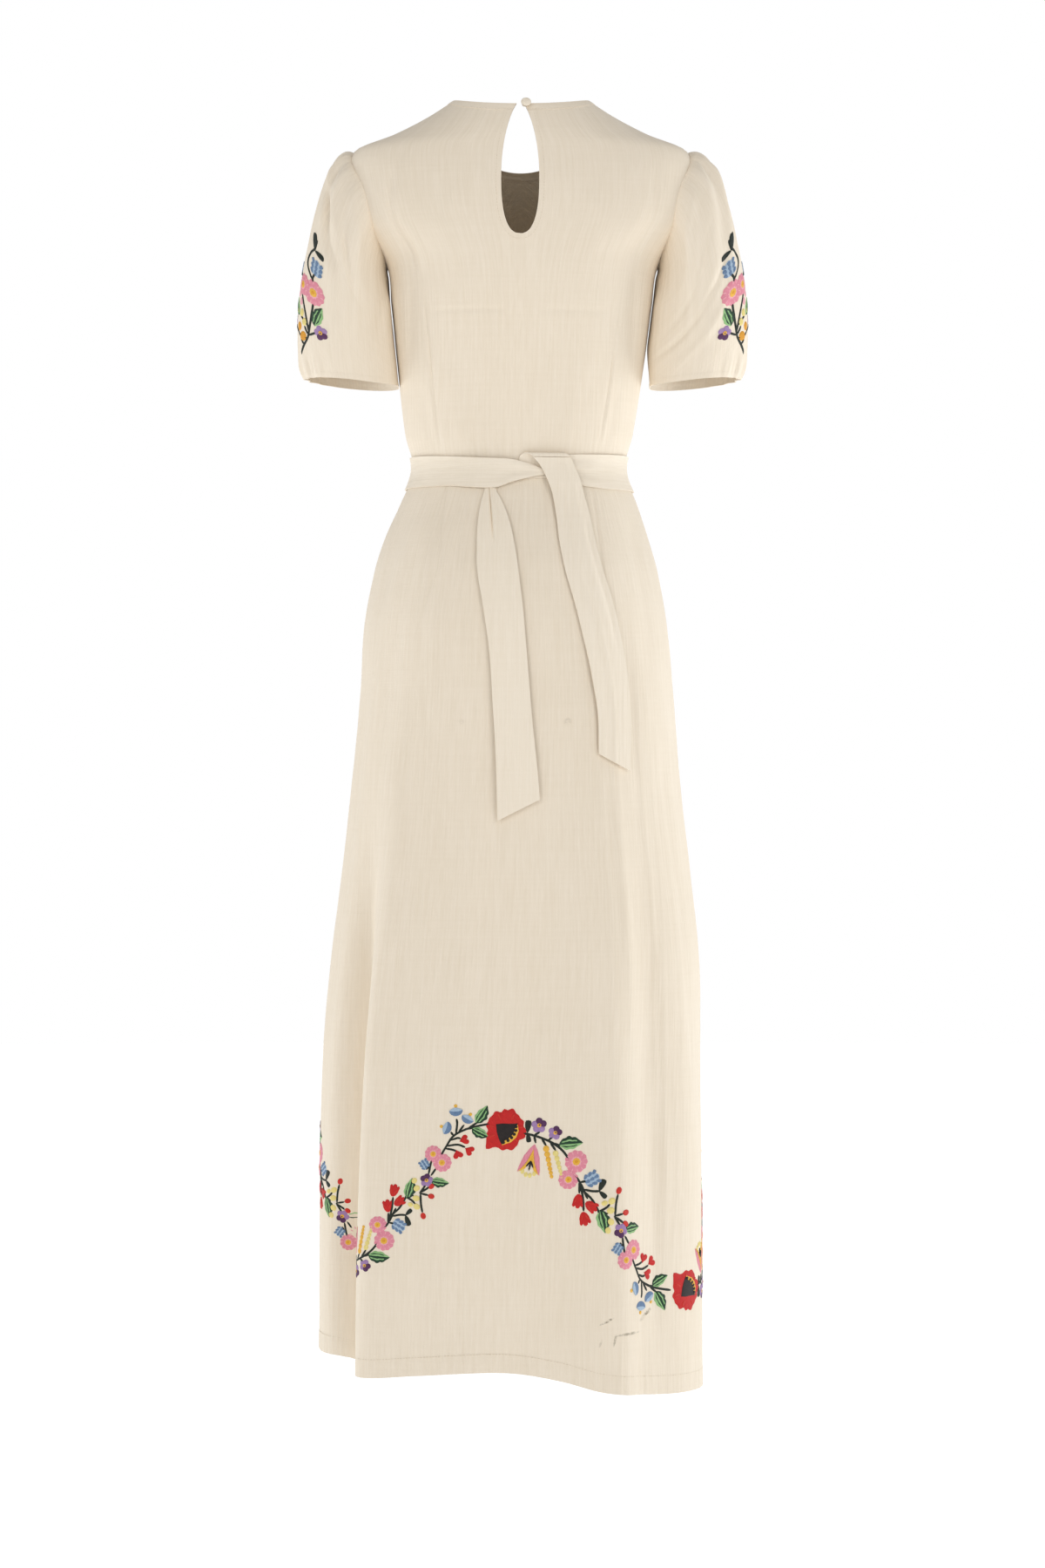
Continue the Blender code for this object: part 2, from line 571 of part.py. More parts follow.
def button_loop():
    """Rouleau loop that comes off the left end of the neck binding and lies behind the button."""
    curve = bpy.data.curves.new("button_loop", "CURVE")
    curve.dimensions = "3D"
    curve.bevel_depth = LOOP_WIRE / 2
    curve.bevel_resolution = 1
    curve.use_fill_caps = True
    spline = curve.splines.new("POLY")
    spline.points.add(LOOP_STEPS)
    for i, spot in enumerate(spline.points):
        turn = math.radians(-LOOP_TURN + 2 * LOOP_TURN * i / LOOP_STEPS)
        place = nape_place(LOOP_RADIUS * math.cos(turn) - 0.0008, LOOP_RADIUS * math.sin(turn),
                           BINDING / 2 + SEAM_GAP + LOOP_WIRE / 2)
        spot.co = (*place, 1.0)
    DRESS.objects.link(bpy.data.objects.new("button_loop", curve))
    curve.materials.append(material("button_loop", CREAM, 0.9))


bodice("bodice_back", False)
bodice("bodice_front", True)
skirt("skirt_back", False)
skirt("skirt_front", True)
sleeve("sleeve_left", -1)
sleeve("sleeve_right", 1)
neck_binding()
belt()
button()
button_loop()
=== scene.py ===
import math

import bmesh
import bpy
import numpy as np
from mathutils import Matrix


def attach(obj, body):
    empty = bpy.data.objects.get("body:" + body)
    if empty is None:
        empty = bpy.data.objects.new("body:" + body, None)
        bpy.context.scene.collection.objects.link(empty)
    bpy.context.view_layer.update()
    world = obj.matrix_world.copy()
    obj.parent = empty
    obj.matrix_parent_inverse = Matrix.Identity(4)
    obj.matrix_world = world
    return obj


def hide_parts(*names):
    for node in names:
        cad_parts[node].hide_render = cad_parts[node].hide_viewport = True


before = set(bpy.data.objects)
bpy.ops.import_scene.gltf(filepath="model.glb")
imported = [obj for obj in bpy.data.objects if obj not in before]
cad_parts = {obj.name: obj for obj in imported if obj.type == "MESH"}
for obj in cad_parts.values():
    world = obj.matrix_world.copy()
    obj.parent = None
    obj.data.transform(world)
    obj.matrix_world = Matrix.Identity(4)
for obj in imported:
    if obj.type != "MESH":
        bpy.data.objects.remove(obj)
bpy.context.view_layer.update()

# Walls of the dress cloth, of the folded neck binding and of the double belt, as they show
CLOTH = 0.0010
BINDING = 0.0018
BELT = 0.0015
KNOT_SHARE = 0.8          # the knot squeezes the belt to this share of its wall

# Measures of the form, in metres
WAIST_Z = -0.4120
UNDERARM_Z = -0.1830
SHOULDER_TIP_Z = -0.0575
NAPE_DROP = 0.0105
FRONT_NECK_DROP = 0.0650
NECK_BINDING_WIDTH = 0.0080
NECK_ROUNDING = 1.08
SHOULDER_DROP = 0.47
HEM_Z = -1.4110
HEM_SLANT = 0.0095
HEM_TWIST = math.radians(-5.0)
HEM_WAVES = (             # angle, rise of the hem there
    (-90, 0.011), (-66, 0.009), (-56, 0.001), (-40, -0.002), (-22, 0.006), (-8, 0.013), (3, 0.016),
    (16, 0.010), (30, -0.002), (45, -0.006), (62, -0.008), (90, -0.005), (120, 0.003), (150, -0.003),
    (180, 0.004), (210, -0.003), (240, 0.003), (270, 0.011),
)
HIP_Z = -0.60
SEAM_GAP = 0.0003

# Fine relief: heights of the crinkle, of turned edges and of the dents along seams
CRINKLE = 0.00035
SKIRT_CRINKLE = 0.00055
BELT_CRINKLE = 0.00020
FACING_LIFT = 0.00035
HEM_LIFT = 0.00025
CUFF_LIFT = 0.00030
CUFF_DENT = 0.0004
SEAM_DENT = 0.0005
STITCH_DENT = 0.0003
HEM_TURN = (0.0200, 0.0190)   # where the turned hem starts and is full, above the edge
HEM_DENT_Z = 0.0196           # line that the hem's stitches draw in
HEM_STITCH_Z = 0.0198

# Body sections: height, middle, half width, depth to the back, depth to the front, squareness
SECTIONS = np.array((
    (0.0020, -0.0015, 0.0740, 0.0490, 0.0610, 2.10),
    (0.0000, -0.0015, 0.0765, 0.0500, 0.0630, 2.10),
    (-0.0205, -0.0015, 0.1080, 0.0620, 0.0760, 2.25),
    (-0.0400, -0.0018, 0.1450, 0.0720, 0.0850, 2.45),
    (-0.0575, -0.0020, 0.1860, 0.0790, 0.0910, 2.65),
    (-0.1000, -0.0010, 0.1915, 0.0940, 0.1060, 2.80),
    (-0.1400, 0.0000, 0.1830, 0.1030, 0.1200, 2.80),
    (-0.1830, 0.0000, 0.1520, 0.1080, 0.1300, 2.60),
    (-0.2300, -0.0010, 0.1450, 0.1075, 0.1310, 2.45),
    (-0.2900, -0.0020, 0.1380, 0.1020, 0.1160, 2.35),
    (-0.3725, -0.0039, 0.1268, 0.0920, 0.0940, 2.30),
    (-0.4120, -0.0039, 0.1178, 0.0880, 0.0870, 2.25),
    (-0.4505, -0.0044, 0.1320, 0.0980, 0.0920, 2.25),
    (-0.4895, -0.0068, 0.1472, 0.1120, 0.0990, 2.25),
    (-0.5285, -0.0073, 0.1584, 0.1240, 0.1060, 2.25),
    (-0.5870, -0.0078, 0.1687, 0.1330, 0.1130, 2.25),
    (-0.6650, -0.0070, 0.1740, 0.1370, 0.1190, 2.25),
    (-0.7625, -0.0080, 0.1825, 0.1410, 0.1270, 2.25),
    (-0.8600, -0.0078, 0.1935, 0.1470, 0.1370, 2.25),
    (-0.9575, -0.0088, 0.2045, 0.1540, 0.1500, 2.25),
    (-1.0550, -0.0120, 0.2095, 0.1620, 0.1630, 2.25),
    (-1.2000, -0.0127, 0.2121, 0.1740, 0.1770, 2.25),
    (-1.4250, -0.0127, 0.2125, 0.1870, 0.1910, 2.25),
))

# Skirt folds: angle at the hip, angle at the hem, half width in degrees, depth at the hem, start, full
FOLDS = (
    (-40, -43, 7.5, 0.0080, -0.62, -1.10),
    (-54, -57, 8.5, -0.0400, -0.74, -1.12),
    (-80, -82, 9.0, 0.0010, -0.80, -1.20),
    (-20, -24, 10.0, -0.0035, -0.60, -1.20),
    (6, 4, 11.0, -0.0030, -0.70, -1.25),
    (33, 38, 7.0, 0.0035, -0.62, -1.00),
    (41, 46, 6.0, -0.0060, -0.70, -1.15),
    (47, 55, 7.5, -0.0060, -0.66, -1.10),
    (54, 66, 7.0, 0.0010, -0.80, -1.15),
    (60, 77, 9.0, 0.0060, -0.80, -1.20),
    (112, 112, 9.0, 0.0080, -0.62, -1.15),
    (127, 126, 9.0, -0.0180, -0.70, -1.20),
    (143, 142, 9.0, 0.0080, -0.62, -1.15),
    (165, 164, 10.0, -0.0060, -0.60, -1.15),
    (184, 186, 10.0, 0.0050, -0.66, -1.20),
    (203, 204, 9.0, -0.0100, -0.70, -1.20),
    (220, 220, 9.0, 0.0080, -0.62, -1.15),
    (241, 240, 9.0, -0.0160, -0.72, -1.20),
)

# Teardrop keyhole
KEYHOLE_X = -0.0025
KEYHOLE_TOP_Z = -0.0088
KEYHOLE_WIDEST_Z = -0.0962
KEYHOLE_BOTTOM_Z = -0.1605
KEYHOLE_HALF_WIDTH = 0.0209
KEYHOLE_TOP_HALF_WIDTH = 0.0025
KEYHOLE_FULLNESS = 2.5
KEYHOLE_OPENING = 0.75
FACING_WIDTH = 0.0068     # turned edge round the keyhole, up to its stitch line

# Armholes and sleeves
ARMHOLE_CUT = {False: 30.0, True: 27.0}   # degrees that the armhole is cut in, at the back and at the front
ARMHOLE_ROUNDING = 0.7
CUFF_X = 0.1920
CUFF_HALF_WIDTH = 0.0490
CUFF_HALF_DEPTH = 0.0580
CUFF_Z = -0.3150
CUFF_SLANT = 0.0050
HEAD_LIFT = 0.0650
HEAD_REACH = {-1: 0.1100, 1: 0.1350}
FLANK_REACH = 0.0400
FLANK_SWELL = 0.0550
FLANK_DROP = 0.0500
UNDERARM_DROP = 0.1100
CUFF_DROP = 0.1700
CUFF_TUCK = 0.0660
CUFF_FLANK_TUCK = 0.0150
GATHERED_SHARE = 0.13
HEAD_GATHERS = 5
HEAD_GATHER_DEPTH = 0.0030
HEAD_GATHER_MIDDLE = 0.16
HEAD_GATHER_LENGTH = 0.14
CUFF_GATHERS = 5
CUFF_GATHER_DEPTH = 0.0028
CUFF_GATHER_SPAN = (0.74, 0.94)
FINE_HEAD_GATHER = 0.0007
FINE_CUFF_GATHER = 0.0013
CUFF_HEM_SHARE = 0.965    # share of the sleeve's length where the cuff's stitch line is
SLEEVE_GIRTH = 0.36       # rough length round a sleeve

# Belt round the waist: angle, upper edge, lower edge, distance out from the body
BELT_ROWS = (
    (18, -0.4015, -0.4335, 0.0023),
    (30, -0.4013, -0.4360, 0.0023),
    (50, -0.4015, -0.4400, 0.0023),
    (90, -0.4020, -0.4410, 0.0023),
    (135, -0.4025, -0.4400, 0.0023),
    (180, -0.4030, -0.4395, 0.0023),
    (225, -0.4030, -0.4390, 0.0023),
    (270, -0.4030, -0.4385, 0.0023),
    (310, -0.4030, -0.4370, 0.0023),
    (326, -0.4035, -0.4360, 0.0024),
    (338, -0.4042, -0.4370, 0.0044),
    (351, -0.4052, -0.4372, 0.0048),
    (357, -0.4062, -0.4318, 0.0050),
    (364, -0.4115, -0.4262, 0.0052),
    (371, -0.4180, -0.4232, 0.0052),
)

BELT_SIDE_RISE = 0.0045

# Belt tails and knot: height, left edge, right edge, distance out from the skirt
TAIL_RIGHT_ROWS = (
    (-0.4043, 0.0112, 0.0502, 0.0086),
    (-0.4140, 0.0190, 0.0540, 0.0090),
    (-0.4290, 0.0262, 0.0600, 0.0088),
    (-0.4450, 0.0318, 0.0650, 0.0066),
    (-0.4700, 0.0362, 0.0720, 0.0050),
    (-0.5000, 0.0400, 0.0785, 0.0042),
    (-0.5320, 0.0465, 0.0870, 0.0040),
    (-0.5660, 0.0560, 0.0970, 0.0044),
    (-0.6040, 0.0650, 0.1050, 0.0052),
    (-0.6420, 0.0730, 0.1110, 0.0060),
    (-0.6900, 0.0800, 0.1150, 0.0062),
    (-0.7390, 0.0815, 0.1150, 0.0060),
)
TAIL_RIGHT_TIP_SLANT = 0.0190
TAIL_LEFT_ROWS = (
    (-0.4220, -0.0390, -0.0300, 0.0020),
    (-0.4390, -0.0410, -0.0290, 0.0021),
    (-0.4560, -0.0450, -0.0210, 0.0040),
    (-0.4780, -0.0480, -0.0135, 0.0050),
    (-0.5050, -0.0490, -0.0080, 0.0046),
    (-0.5300, -0.0485, -0.0045, 0.0044),
    (-0.5720, -0.0420, 0.0005, 0.0046),
    (-0.6200, -0.0355, 0.0045, 0.0052),
    (-0.6850, -0.0310, 0.0100, 0.0060),
    (-0.7350, -0.0275, 0.0150, 0.0062),
    (-0.7910, -0.0250, 0.0200, 0.0060),
)
TAIL_LEFT_TIP_SLANT = -0.0230
TIP_START = 0.82
# Soft lengthwise folds of the tails: place across, half width, depth, start, end
TAIL_LEFT_FOLDS = (
    (0.44, 0.045, -0.0034, -0.2, 0.42), (0.52, 0.10, 0.0012, -0.2, 0.50),
    (0.62, 0.16, 0.0005, 0.20, 0.95), (0.25, 0.12, -0.0004, 0.35, 1.2),
)
TAIL_RIGHT_FOLDS = (
    (0.70, 0.14, 0.0010, 0.05, 0.75), (0.35, 0.12, -0.0007, 0.20, 1.2),
    (0.52, 0.06, 0.0005, 0.40, 1.2), (0.86, 0.07, -0.0012, 0.35, 0.80),
)
KNOT_ROWS = (
    (-0.4270, -0.0035, 0.0300, 0.0019),
    (-0.4150, -0.0040, 0.0320, 0.0019),
    (-0.4045, -0.0035, 0.0335, 0.0020),
    (-0.4008, -0.0010, 0.0390, 0.0032),
    (-0.3995, 0.0030, 0.0440, 0.0052),
    (-0.4008, 0.0075, 0.0475, 0.0075),
    (-0.4038, 0.0110, 0.0500, 0.0086),
)
BUTTON_X = 0.0039
BUTTON_Z = -0.0118
BUTTON_RADIUS = 0.0056
BUTTON_DEPTH = 0.0046
LOOP_WIRE = 0.0012
NAPE_STEP = 0.004         # distance down over which the slope at the nape is taken
BUTTON_PLEATS = 14
PLEAT_DEPTH = 0.03
NECK_EDGE_WALL = 0.0020   # wall of the neck binding in the solids, where the loop lies on it

# Creases: angle and height at the top, then at the foot, half width, depth. A trough is below zero.
SKIRT_CREASES = (
    (-38, -0.424, -28.5, -0.520, 0.0020, -0.0013),
    (-28.5, -0.510, -37, -0.600, 0.0020, -0.0009),
    (37, -0.424, 33, -0.580, 0.0020, -0.0010),
    (-62, -0.450, -58, -0.640, 0.0160, -0.0030),
    (60, -0.450, 56, -0.660, 0.0140, -0.0022),
    (-26, -0.470, -30, -0.640, 0.0060, 0.0009),
    (22, -0.470, 25, -0.640, 0.0060, 0.0008),
    (-30, -0.560, -27, -0.700, 0.0090, 0.0010),
    (-46, -0.600, -41, -1.380, 0.0150, 0.0014),
    (-49, -0.720, -47, -1.300, 0.0045, 0.0008),
    (-37, -0.640, -36, -1.150, 0.0045, -0.0007),
    (47, -0.640, 52, -1.200, 0.0045, 0.0009),
    (56, -0.700, 62, -1.150, 0.0045, -0.0008),
    (50, -1.100, 53, -1.395, 0.0100, -0.0022),
    (29, -1.120, 31, -1.400, 0.0110, 0.0016),
    (-8, -1.200, -9, -1.400, 0.0120, -0.0012),
    (-34, -0.700, -32, -1.300, 0.0120, -0.0014),
    (-44, -0.480, -52, -0.700, 0.0120, -0.0022),
    (-58, -0.520, -62, -0.780, 0.0150, 0.0020),
    (-12, -0.740, -14, -1.250, 0.0110, 0.0010),
    (-3, -0.600, -6, -1.050, 0.0090, -0.0008),
    (10, -0.780, 13, -1.380, 0.0120, 0.0011),
    (19, -0.700, 22, -1.200, 0.0110, -0.0010),
    (27, -0.660, 31, -1.150, 0.0070, 0.0012),
    (34, -0.720, 38, -1.060, 0.0060, 0.0014),
    (44, -0.560, 47, -0.800, 0.0110, -0.0016),
    (36, -0.950, 41, -1.380, 0.0080, -0.0012),
    (52, -0.900, 58, -1.300, 0.0060, 0.0012),
    (62, -0.700, 69, -1.100, 0.0100, -0.0014),
    (-24, -0.900, -22, -1.390, 0.0080, 0.0011),
    (2, -1.150, 3, -1.400, 0.0100, 0.0009),
    (-70, -0.640, -73, -1.200, 0.0100, -0.0016),
    (84, -0.560, 87, -1.150, 0.0120, 0.0016),
    (99, -0.480, 101, -0.900, 0.0120, -0.0014),
    (118, -0.440, 120, -0.700, 0.0080, -0.0010),
    (134, -0.600, 136, -1.250, 0.0100, 0.0014),
    (150, -0.430, 153, -0.640, 0.0070, -0.0009),
    (158, -0.800, 156, -1.380, 0.0110, -0.0012),
    (173, -0.640, 175, -1.100, 0.0100, 0.0012),
    (190, -0.700, 192, -1.300, 0.0110, -0.0012),
    (207, -0.430, 205, -0.660, 0.0070, -0.0009),
    (212, -0.800, 213, -1.380, 0.0090, 0.0013),
    (230, -0.560, 231, -1.150, 0.0110, -0.0014),
    (251, -0.520, 252, -1.000, 0.0110, 0.0014),
    (262, -0.700, 264, -1.300, 0.0100, -0.0013),
)
BODICE_CREASES = (
    (-44.0, -0.222, -42.0, -0.400, 0.0017, -0.0013),
    (-45.6, -0.240, -43.9, -0.400, 0.0022, 0.0006),
    (45.5, -0.228, 43.0, -0.400, 0.0017, -0.0013),
    (47.1, -0.245, 44.9, -0.400, 0.0022, 0.0006),
    (-41, -0.085, -49, -0.200, 0.0055, -0.0022),
    (-37, -0.095, -44, -0.205, 0.0080, 0.0014),
    (42, -0.090, 50, -0.190, 0.0060, -0.0016),
    (-14, -0.100, -26, -0.205, 0.0070, 0.0008),
    (-6, -0.205, -8, -0.300, 0.0060, 0.0006),
    (16, -0.110, 27, -0.200, 0.0070, 0.0008),
    (-52, -0.320, -47, -0.400, 0.0060, -0.0010),
    (52, -0.320, 49, -0.400, 0.0060, -0.0010),
    (-52, -0.200, -60, -0.300, 0.0100, -0.0014),
    (54, -0.195, 61, -0.300, 0.0100, -0.0014),
    (-30, -0.300, -24, -0.400, 0.0090, 0.0009),
    (27, -0.290, 22, -0.400, 0.0090, 0.0008),
    (-18, -0.190, -16, -0.330, 0.0080, 0.0007),
    (14, -0.200, 16, -0.350, 0.0080, -0.0006),
    (-33, -0.060, -42, -0.190, 0.0120, 0.0010),
    (31, -0.060, 40, -0.180, 0.0120, 0.0010),
    (-66, -0.330, -78, -0.400, 0.0080, 0.0010),
    (68, -0.320, 80, -0.400, 0.0080, 0.0010),
    (137, -0.245, 142, -0.398, 0.0018, -0.0006),
    (223, -0.245, 218, -0.398, 0.0018, -0.0006),
    (116, -0.200, 128, -0.270, 0.0090, 0.0011),
    (244, -0.200, 232, -0.270, 0.0090, 0.0011),
    (160, -0.110, 150, -0.230, 0.0120, -0.0009),
    (200, -0.110, 211, -0.235, 0.0120, -0.0009),
    (172, -0.260, 168, -0.390, 0.0090, 0.0008),
    (190, -0.250, 193, -0.395, 0.0090, -0.0007),
)
# Lines pressed across: height, first and last angle, depth
BODICE_PRESSED = ((-0.2430, -42, -2, -0.00080), (-0.2436, 4, 40, -0.00070))
SKIRT_PRESSED = ((-0.5450, -38, -25, -0.00060), (-0.5700, 8, 26, -0.00035))
# Sleeve folds: shares round and down at the head, shares round and down at the foot, half width, depth.
# Shares round go from the top towards the back of the dress, then under the arm and up its front.
SLEEVE_CREASES = (
    (0.040, 0.10, 0.075, 0.62, 0.0065, 0.0016),
    (0.085, 0.06, 0.150, 0.50, 0.0070, -0.0020),
    (0.125, 0.10, 0.205, 0.66, 0.0080, 0.0016),
    (0.190, 0.14, 0.260, 0.60, 0.0090, -0.0022),
    (0.265, 0.12, 0.320, 0.50, 0.0080, 0.0014),
    (0.150, 0.60, 0.120, 0.93, 0.0080, -0.0012),
    (0.225, 0.66, 0.230, 0.95, 0.0090, 0.0012),
    (0.960, 0.10, 0.925, 0.62, 0.0065, 0.0016),
    (0.915, 0.06, 0.850, 0.50, 0.0070, -0.0020),
    (0.870, 0.10, 0.790, 0.66, 0.0080, 0.0016),
    (0.810, 0.14, 0.745, 0.60, 0.0090, -0.0022),
    (0.730, 0.12, 0.680, 0.50, 0.0080, 0.0014),
    (0.840, 0.60, 0.870, 0.93, 0.0080, -0.0012),
    (0.450, 0.20, 0.440, 0.80, 0.0070, -0.0012),
    (0.560, 0.25, 0.570, 0.85, 0.0080, 0.0012),
)
OWN_CREASES = {          # of the left sleeve and of the right one
    -1: ((0.100, 0.26, 0.200, 0.50, 0.0080, -0.0048), (0.070, 0.18, 0.130, 0.44, 0.0060, 0.0022),
         (0.215, 0.30, 0.300, 0.56, 0.0050, -0.0018), (0.180, 0.30, 0.270, 0.52, 0.0060, 0.0014),
         (0.400, 0.30, 0.360, 0.75, 0.0060, -0.0014)),
    1: ((0.045, 0.14, 0.120, 0.55, 0.0060, 0.0030), (0.110, 0.46, 0.400, 0.84, 0.0070, -0.0024),
        (0.075, 0.52, 0.330, 0.92, 0.0080, 0.0018), (0.160, 0.30, 0.380, 0.70, 0.0060, -0.0012),
        (0.220, 0.16, 0.290, 0.42, 0.0055, -0.0012)),
}
# How far the inside of each sleeve leans to the body: height, distance
SLEEVE_LEAN = {
    -1: ((-0.190, 0.0), (-0.200, 0.0012), (-0.230, 0.0004), (-0.260, 0.0006), (-0.290, 0.0016),
         (-0.320, 0.0036)),
    1: ((-0.190, 0.0), (-0.200, 0.0020), (-0.230, 0.0028), (-0.260, 0.0039), (-0.275, 0.0044),
        (-0.290, 0.0030), (-0.305, 0.0010), (-0.320, 0.0)),
}
BACK_LEAN = {-1: 0.0070, 1: 0.0055}   # the same behind the arm, full below its upper end
SLEEVE_PUFF = 0.0040                  # how far the outer side swells above the cuff


# Surfaces, worked out for many points at once
def hermite(f, start, leave, end, arrive, span=1.0):
    """Points at shares f of a cubic curve, from its ends and the slopes there."""
    return ((2 * f ** 3 - 3 * f ** 2 + 1) * start + (f ** 3 - 2 * f ** 2 + f) * span * leave
            + (3 * f ** 2 - 2 * f ** 3) * end + (f ** 3 - f ** 2) * span * arrive)


def smooth(table, key):
    """Rows of a table at keys in its first column, on a smooth curve through the rows."""
    table = np.asarray(table, float)
    if table[0, 0] > table[-1, 0]:
        table = table[::-1]
    keys, values = table[:, 0], table[:, 1:]
    last = len(keys) - 1
    key = np.clip(np.asarray(key, float), keys[0], keys[-1])
    k = np.clip(np.searchsorted(keys, key) - 1, 0, last - 1)
    index = np.arange(last + 1)
    low, high = np.maximum(index - 1, 0), np.minimum(index + 1, last)
    slopes = (values[high] - values[low]) / (keys[high] - keys[low])[:, None]
    span = (keys[k + 1] - keys[k])[..., None]
    f = (key - keys[k])[..., None] / span
    return hermite(f, values[k], slopes[k], values[k + 1], slopes[k + 1], span)


def columns_of(table, key):
    """The columns of a smoothed table, each as an array."""
    return np.moveaxis(smooth(table, key), -1, 0)


def ramp(value, start, full):
    """0 at start, 1 at full, with soft ends."""
    f = np.clip((value - start) / (full - start), 0.0, 1.0)
    return f * f * (3 - 2 * f)


def joined(*columns):
    """Points or pairs from their columns."""
    return np.stack(columns, axis=-1)


def hump(away, half_width):
    """1 in the middle, with soft ends at 0."""
    return np.exp(-((away / half_width) ** 2))


def power(value, exponent):
    """A power that keeps the sign."""
    return np.sign(value) * np.abs(value) ** exponent


def off_line(angle, middle):
    """Degrees from a middle to an angle, the short way round."""
    return (angle - middle + 180) % 360 - 180


def run_along(points):
    """Distance along a line of points, up to each of them."""
    return np.concatenate(([0], np.cumsum(np.linalg.norm(np.diff(points, axis=0), axis=1))))


def fold_depth(angle, z):
    """How far the folds move the skirt out."""
    depth = 0.0
    for hip_angle, hem_angle, half_width, hem_depth, start, full in FOLDS:
        middle = hip_angle + (hem_angle - hip_angle) * ramp(z, start, HEM_Z)
        depth = depth + hem_depth * ramp(z, start, full) * hump(off_line(angle, middle), half_width)
    return depth


def body_point(angle, z, out=0.0):
    """Points of the worn cloth at angles in degrees from the centre back, moved out along the section."""
    angle, z, out = np.broadcast_arrays(*(np.asarray(v, float) for v in (angle, z, out)))
    middle, half_width, back, front, square = columns_of(SECTIONS, z)
    across, along = np.sin(np.radians(angle)), np.cos(np.radians(angle))
    depth = np.where(along > 0, back, front)
    x = half_width * power(across, 2 / square)
    y = -depth * power(along, 2 / square)
    normal_x = power(x / half_width, square - 1) / half_width
    normal_y = power(y / depth, square - 1) / depth
    moved = (out + fold_depth(angle, z)) / np.hypot(normal_x, normal_y)
    x, y = x + normal_x * moved, y + normal_y * moved
    twist = HEM_TWIST * ramp(z, HIP_Z, HEM_Z)
    return joined(middle + x * np.cos(twist) - y * np.sin(twist),
                  x * np.sin(twist) + y * np.cos(twist), z)


def girth(z):
    """Rough length round the body for each degree at a height."""
    _, half_width, back, front, _ = columns_of(SECTIONS, z)
    return math.pi / 180 * (half_width + (back + front) / 2) / 2


def crease_depth(creases, angle, z):
    """Soft troughs and ridges that taper at both ends."""
    depth = np.zeros(np.broadcast(angle, z).shape)
    for top_angle, top_z, foot_angle, foot_z, half_width, deep in creases:
        share = (z - top_z) / (foot_z - top_z)
        middle = top_angle + (foot_angle - top_angle) * share
        fade = ramp(share, -0.05, 0.22) * ramp(share, 1.08, 0.70)
        depth += deep * fade * hump(off_line(angle, middle) * girth(z), half_width)
    return depth


def pressed_depth(lines, angle, z):
    """Faint lines pressed across the cloth."""
    depth = 0.0
    for height, first, last, deep in lines:
        fade = ramp(angle, first, first + 5) * ramp(angle, last, last - 5)
        depth = depth + deep * fade * hump(z - height, PRESSED_HALF_WIDTH)
    return depth


CRINKLE_WIDTH = 0.010     # width of the finest ripples, and how much wider each next set is
CRINKLE_STEP = 0.007
PRESSED_HALF_WIDTH = 0.0022
FRONT_SPACING = 1.5       # columns of the bodice lie closer together towards its middle
BACK_SPACING = 1.2
CRINKLES = np.random.default_rng(7).uniform(0, 1, (9, 4))


def crinkle(across, down):
    """Fine uneven upright ripples of the cloth, from distances in metres."""
    depth = 0.0
    for i, (a, b, c, d) in enumerate(CRINKLES):
        width = CRINKLE_WIDTH + CRINKLE_STEP * i
        length = 0.05 + 0.16 * a
        ripple = np.sin(math.tau * (across / width + 0.7 * b * down / length))
        depth = depth + (0.4 + 0.6 * d) * ripple * np.sin(math.tau * (down / length + c))
    return depth / len(CRINKLES)


def back_neck_z(angle, margin):
    """Height of the back neck edge, or of a line a margin below it."""
    at_nape = NAPE_DROP + (1 - SHOULDER_DROP) * margin
    return -SHOULDER_DROP * margin - at_nape * np.cos(np.radians(angle)) ** 2


def front_neck_line(margin):
    """Angles and heights along the front neck edge, or along a line a margin below it."""
    around = 90.0 + 2 * np.arange(46)
    at_front = FRONT_NECK_DROP + (1 - SHOULDER_DROP) * margin
    side_z = -SHOULDER_DROP * margin
    z = side_z - at_front * np.abs(np.cos(np.radians(around))) ** NECK_ROUNDING
    half_neck = smooth(SECTIONS, side_z)[1]
    _, half_width, _, _, square = columns_of(SECTIONS, z)
    share = np.minimum(half_neck * np.abs(np.sin(np.radians(around))) / half_width, 1.0)
    return 180 - np.degrees(np.arcsin(share ** (square / 2))), z


def neck_z(front, angle, margin=NECK_BINDING_WIDTH):
    """Height of the line a margin below the neck edge, at angles of 0 to 90 from the panel's middle."""
    if not front:
        return back_neck_z(angle, margin)
    turn, height = front_neck_line(margin)
    order = np.argsort(turn)
    return np.interp(180 - np.asarray(angle, float), turn[order], height[order])


def keyhole_half_width(z):
    """Half width of the teardrop. 0 below its foot."""
    down = np.clip((KEYHOLE_WIDEST_Z - z) / (KEYHOLE_WIDEST_Z - KEYHOLE_BOTTOM_Z), 0.0, 1.0)
    foot = KEYHOLE_HALF_WIDTH * (1 - down ** KEYHOLE_FULLNESS) ** (1 / KEYHOLE_FULLNESS)
    up = np.clip((KEYHOLE_TOP_Z - z) / (KEYHOLE_TOP_Z - KEYHOLE_WIDEST_Z), 0.0, 1.0)
    widening = np.sin(math.pi / 2 * up ** KEYHOLE_OPENING)
    head = KEYHOLE_TOP_HALF_WIDTH + (KEYHOLE_HALF_WIDTH - KEYHOLE_TOP_HALF_WIDTH) * widening
    return np.where(z <= KEYHOLE_BOTTOM_Z, 0.0, np.where(z < KEYHOLE_WIDEST_Z, foot, head))


def angle_at(x, z):
    """Angle of the back point at a distance across."""
    middle, half_width, _, _, square = columns_of(SECTIONS, z)
    share = np.clip((x - middle) / half_width, -1.0, 1.0)
    return np.degrees(np.arcsin(power(share, square / 2)))


